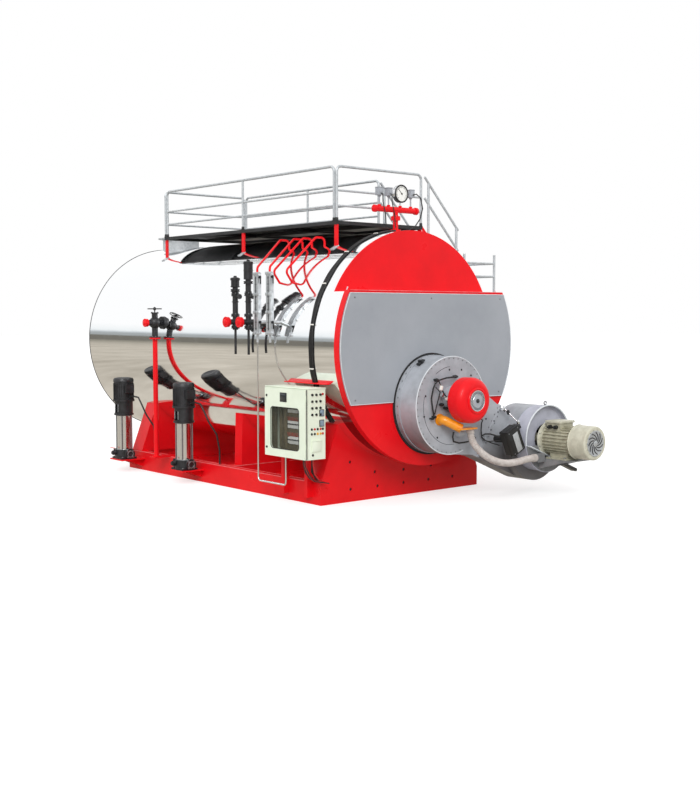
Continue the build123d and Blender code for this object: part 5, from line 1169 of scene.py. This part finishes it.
for k in range(cabinet["looms"]):
    x, y, fanOut = -1.50 + 0.022 * k, -1.95 + 0.035 * (k % 5), k - 4
    glandPlaces.append((x, y, 0.5405))
    (redLooms if k % 4 == 1 else looms).append((addTube, [
        (x, y, 0.545), (x, y - 0.004, 0.47), (x + 0.03, y + 0.01 * fanOut, 0.37),
        (x + 0.09, y + 0.012 * fanOut, 0.30), (-1.215, y + 0.014 * fanOut, 0.262)],
        0.006 + 0.001 * (k % 3)))
build("cabinetLooms", blackPlastic, *looms)
build("cabinetRedLooms", lampRed, *redLooms)
bolts("cabinetGlands", aimed(glandPlaces, -toTop), 11, 20, 6, blackPlastic)
build("cabinetBackEdge", redEnamel, (addBlock, (-1.262, -1.69, 1.335), (0.074, 0.74, 0.012)))
print("cabinet dressed")

# Crown instruments: dial face with ticks and a needle, dark bezel, joint bolts, cable loops, switch lids
dial = {"ticks": 41, "sweep": 270, "first": 225, "longEvery": 5, "bezelMm": 9}
gaugeLow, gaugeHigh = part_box("pressure_gauge")
dialRadius = (gaugeHigh.x - gaugeLow.x) / 2
dialAt = Vector(((gaugeLow.x + gaugeHigh.x) / 2, gaugeLow.y, gaugeHigh.z - dialRadius))
build("dialFace", dialCard, (addLathe, dialAt, toFront, [
    (0, 0.001), (dialRadius - 0.012, 0.001), (dialRadius - 0.012, 0)]))
build("dialBezel", blackPlastic, (addRing, dialAt, dialRadius - 0.005, 72, dial["bezelMm"] / 1000, "Y", 10))
tickPlaces = spokes(dialAt + toFront * 0.0015, dialRadius * 0.74, [
    dial["first"] - dial["sweep"] * k / (dial["ticks"] - 1) for k in range(dial["ticks"])])
bars("dialTicks", tickPlaces, 11, 0.8, 2.2, blackPlastic)
bars("dialNumberTicks", tickPlaces[::dial["longEvery"]], 17, 0.9, 4, blackPlastic)
build("dialNeedle", blackPlastic,
      (addBlock, dialAt + Vector((-0.020, -0.0035, 0.020)), (0.094, 0.002, 0.006), 0.0006, tilted(45)),
      (addRod, dialAt + toFront * 0.001, dialAt + toFront * 0.007, 0.009, 20))
crownY = middle("instrument_manifold").y
switchX, ventX = (-0.250, -0.110, 0.235), (-0.250, -0.110, 0.070, 0.235)
bolts("manifoldBolts", aimed(ring((0, crownY, 3.194), 0.043, 6, "Z"), toTop), 6, 8)
build("instrumentCables", blackPlastic, (addTube, [(x, crownY - y, z) for x, y, z in (
    (0.235, 0.036, 3.45), (0.27, 0.06, 3.46), (0.33, 0.07, 3.42), (0.37, 0.06, 3.30), (0.34, 0.05, 3.18),
    (0.26, 0.05, 3.09), (0.16, 0.06, 3.045), (0.02, 0.075, 3.030))], 0.007),
    *[(addTube, [(x + dx, crownY - y, z) for dx, y, z in (
        (0, 0.035, 3.44), (-0.01, 0.07, 3.43), (-0.02, 0.085, 3.34), (0.02, 0.085, 3.20),
        (0.03, 0.085, 3.05))], 0.006) for x in switchX[:2]])
build("switchLids", burnerGrey, *[step for x in switchX for step in (
    (addBlock, (x, crownY, 3.508), (0.068, 0.076, 0.012)),
    (addBlock, (x, crownY - 0.037, 3.465), (0.044, 0.006, 0.05), 0.002),
    (addRod, (x, crownY, 3.405), (x, crownY, 3.421), 0.018, 6))])
build("manifoldEnds", redEnamel, *[
    (addLathe, (side * 0.33, crownY, 3.270), (side, 0, 0), [
        (0.033, -0.03), (0.042, -0.03), (0.042, 0.002), (0.030, 0.008), (0, 0.010)], 28)
    for side in (-1, 1)],
    *[(addRod, (x, crownY, 3.296), (x, crownY, 3.318), 0.020, 8) for x in ventX])
print("instruments dressed")

# Skid: drip tray between the beams, painted highlights as pale tubes along their tops
skid = {"trayLevel": 0.10, "trayLeft": -0.50, "edgeMm": 4.5, "beamWidth": 0.090}
beamLow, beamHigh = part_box("base_beams")
crossLow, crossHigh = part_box("base_cross_beams")
inner, edge = beamHigh.x - skid["beamWidth"], skid["edgeMm"] / 1000
build("dripTray", redEnamel, (addBlock, (
    (skid["trayLeft"] + inner) / 2, (beamLow.y + beamHigh.y) / 2, skid["trayLevel"]),
    (inner - skid["trayLeft"], beamHigh.y - beamLow.y - 0.01, 0.008), 0.002))
build("skidEdges", redEdgeHighlight, *[
    (addTube, [(side * x, y, beamHigh.z - 0.002) for y in (beamLow.y + 0.004, beamHigh.y - 0.004)], edge, 6)
    for side in (-1, 1) for x in (beamHigh.x - 0.002, inner)],
    *[(addTube, [(x, y, crossHigh.z - 0.002) for x in (-inner, inner)], edge, 6)
      for y in (crossLow.y, crossHigh.y)])

# Saddle: painted shade, black discs just behind its holes for the dark insides seen through them
saddle = {"holeRadius": 0.024, "holes": (
    (-0.8, 0.140), (-0.4, 0.140), (0.0, 0.140), (0.4, 0.140), (0.8, 0.140), (0, 0.294), (-0.44, 0.305),
    (0.44, 0.305), (-0.81, 0.445), (0.81, 0.445))}
saddleFront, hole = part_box("front_saddle")[0].y, saddle["holeRadius"]
build("saddleHoleShade", blackCasting, *[
    (addLathe, (x, saddleFront + 0.013, z), toFront, [(0, 0), (hole, 0), (hole, -0.003), (0, -0.003)], 20)
    for x, z in saddle["holes"]])

print("pieces ready")
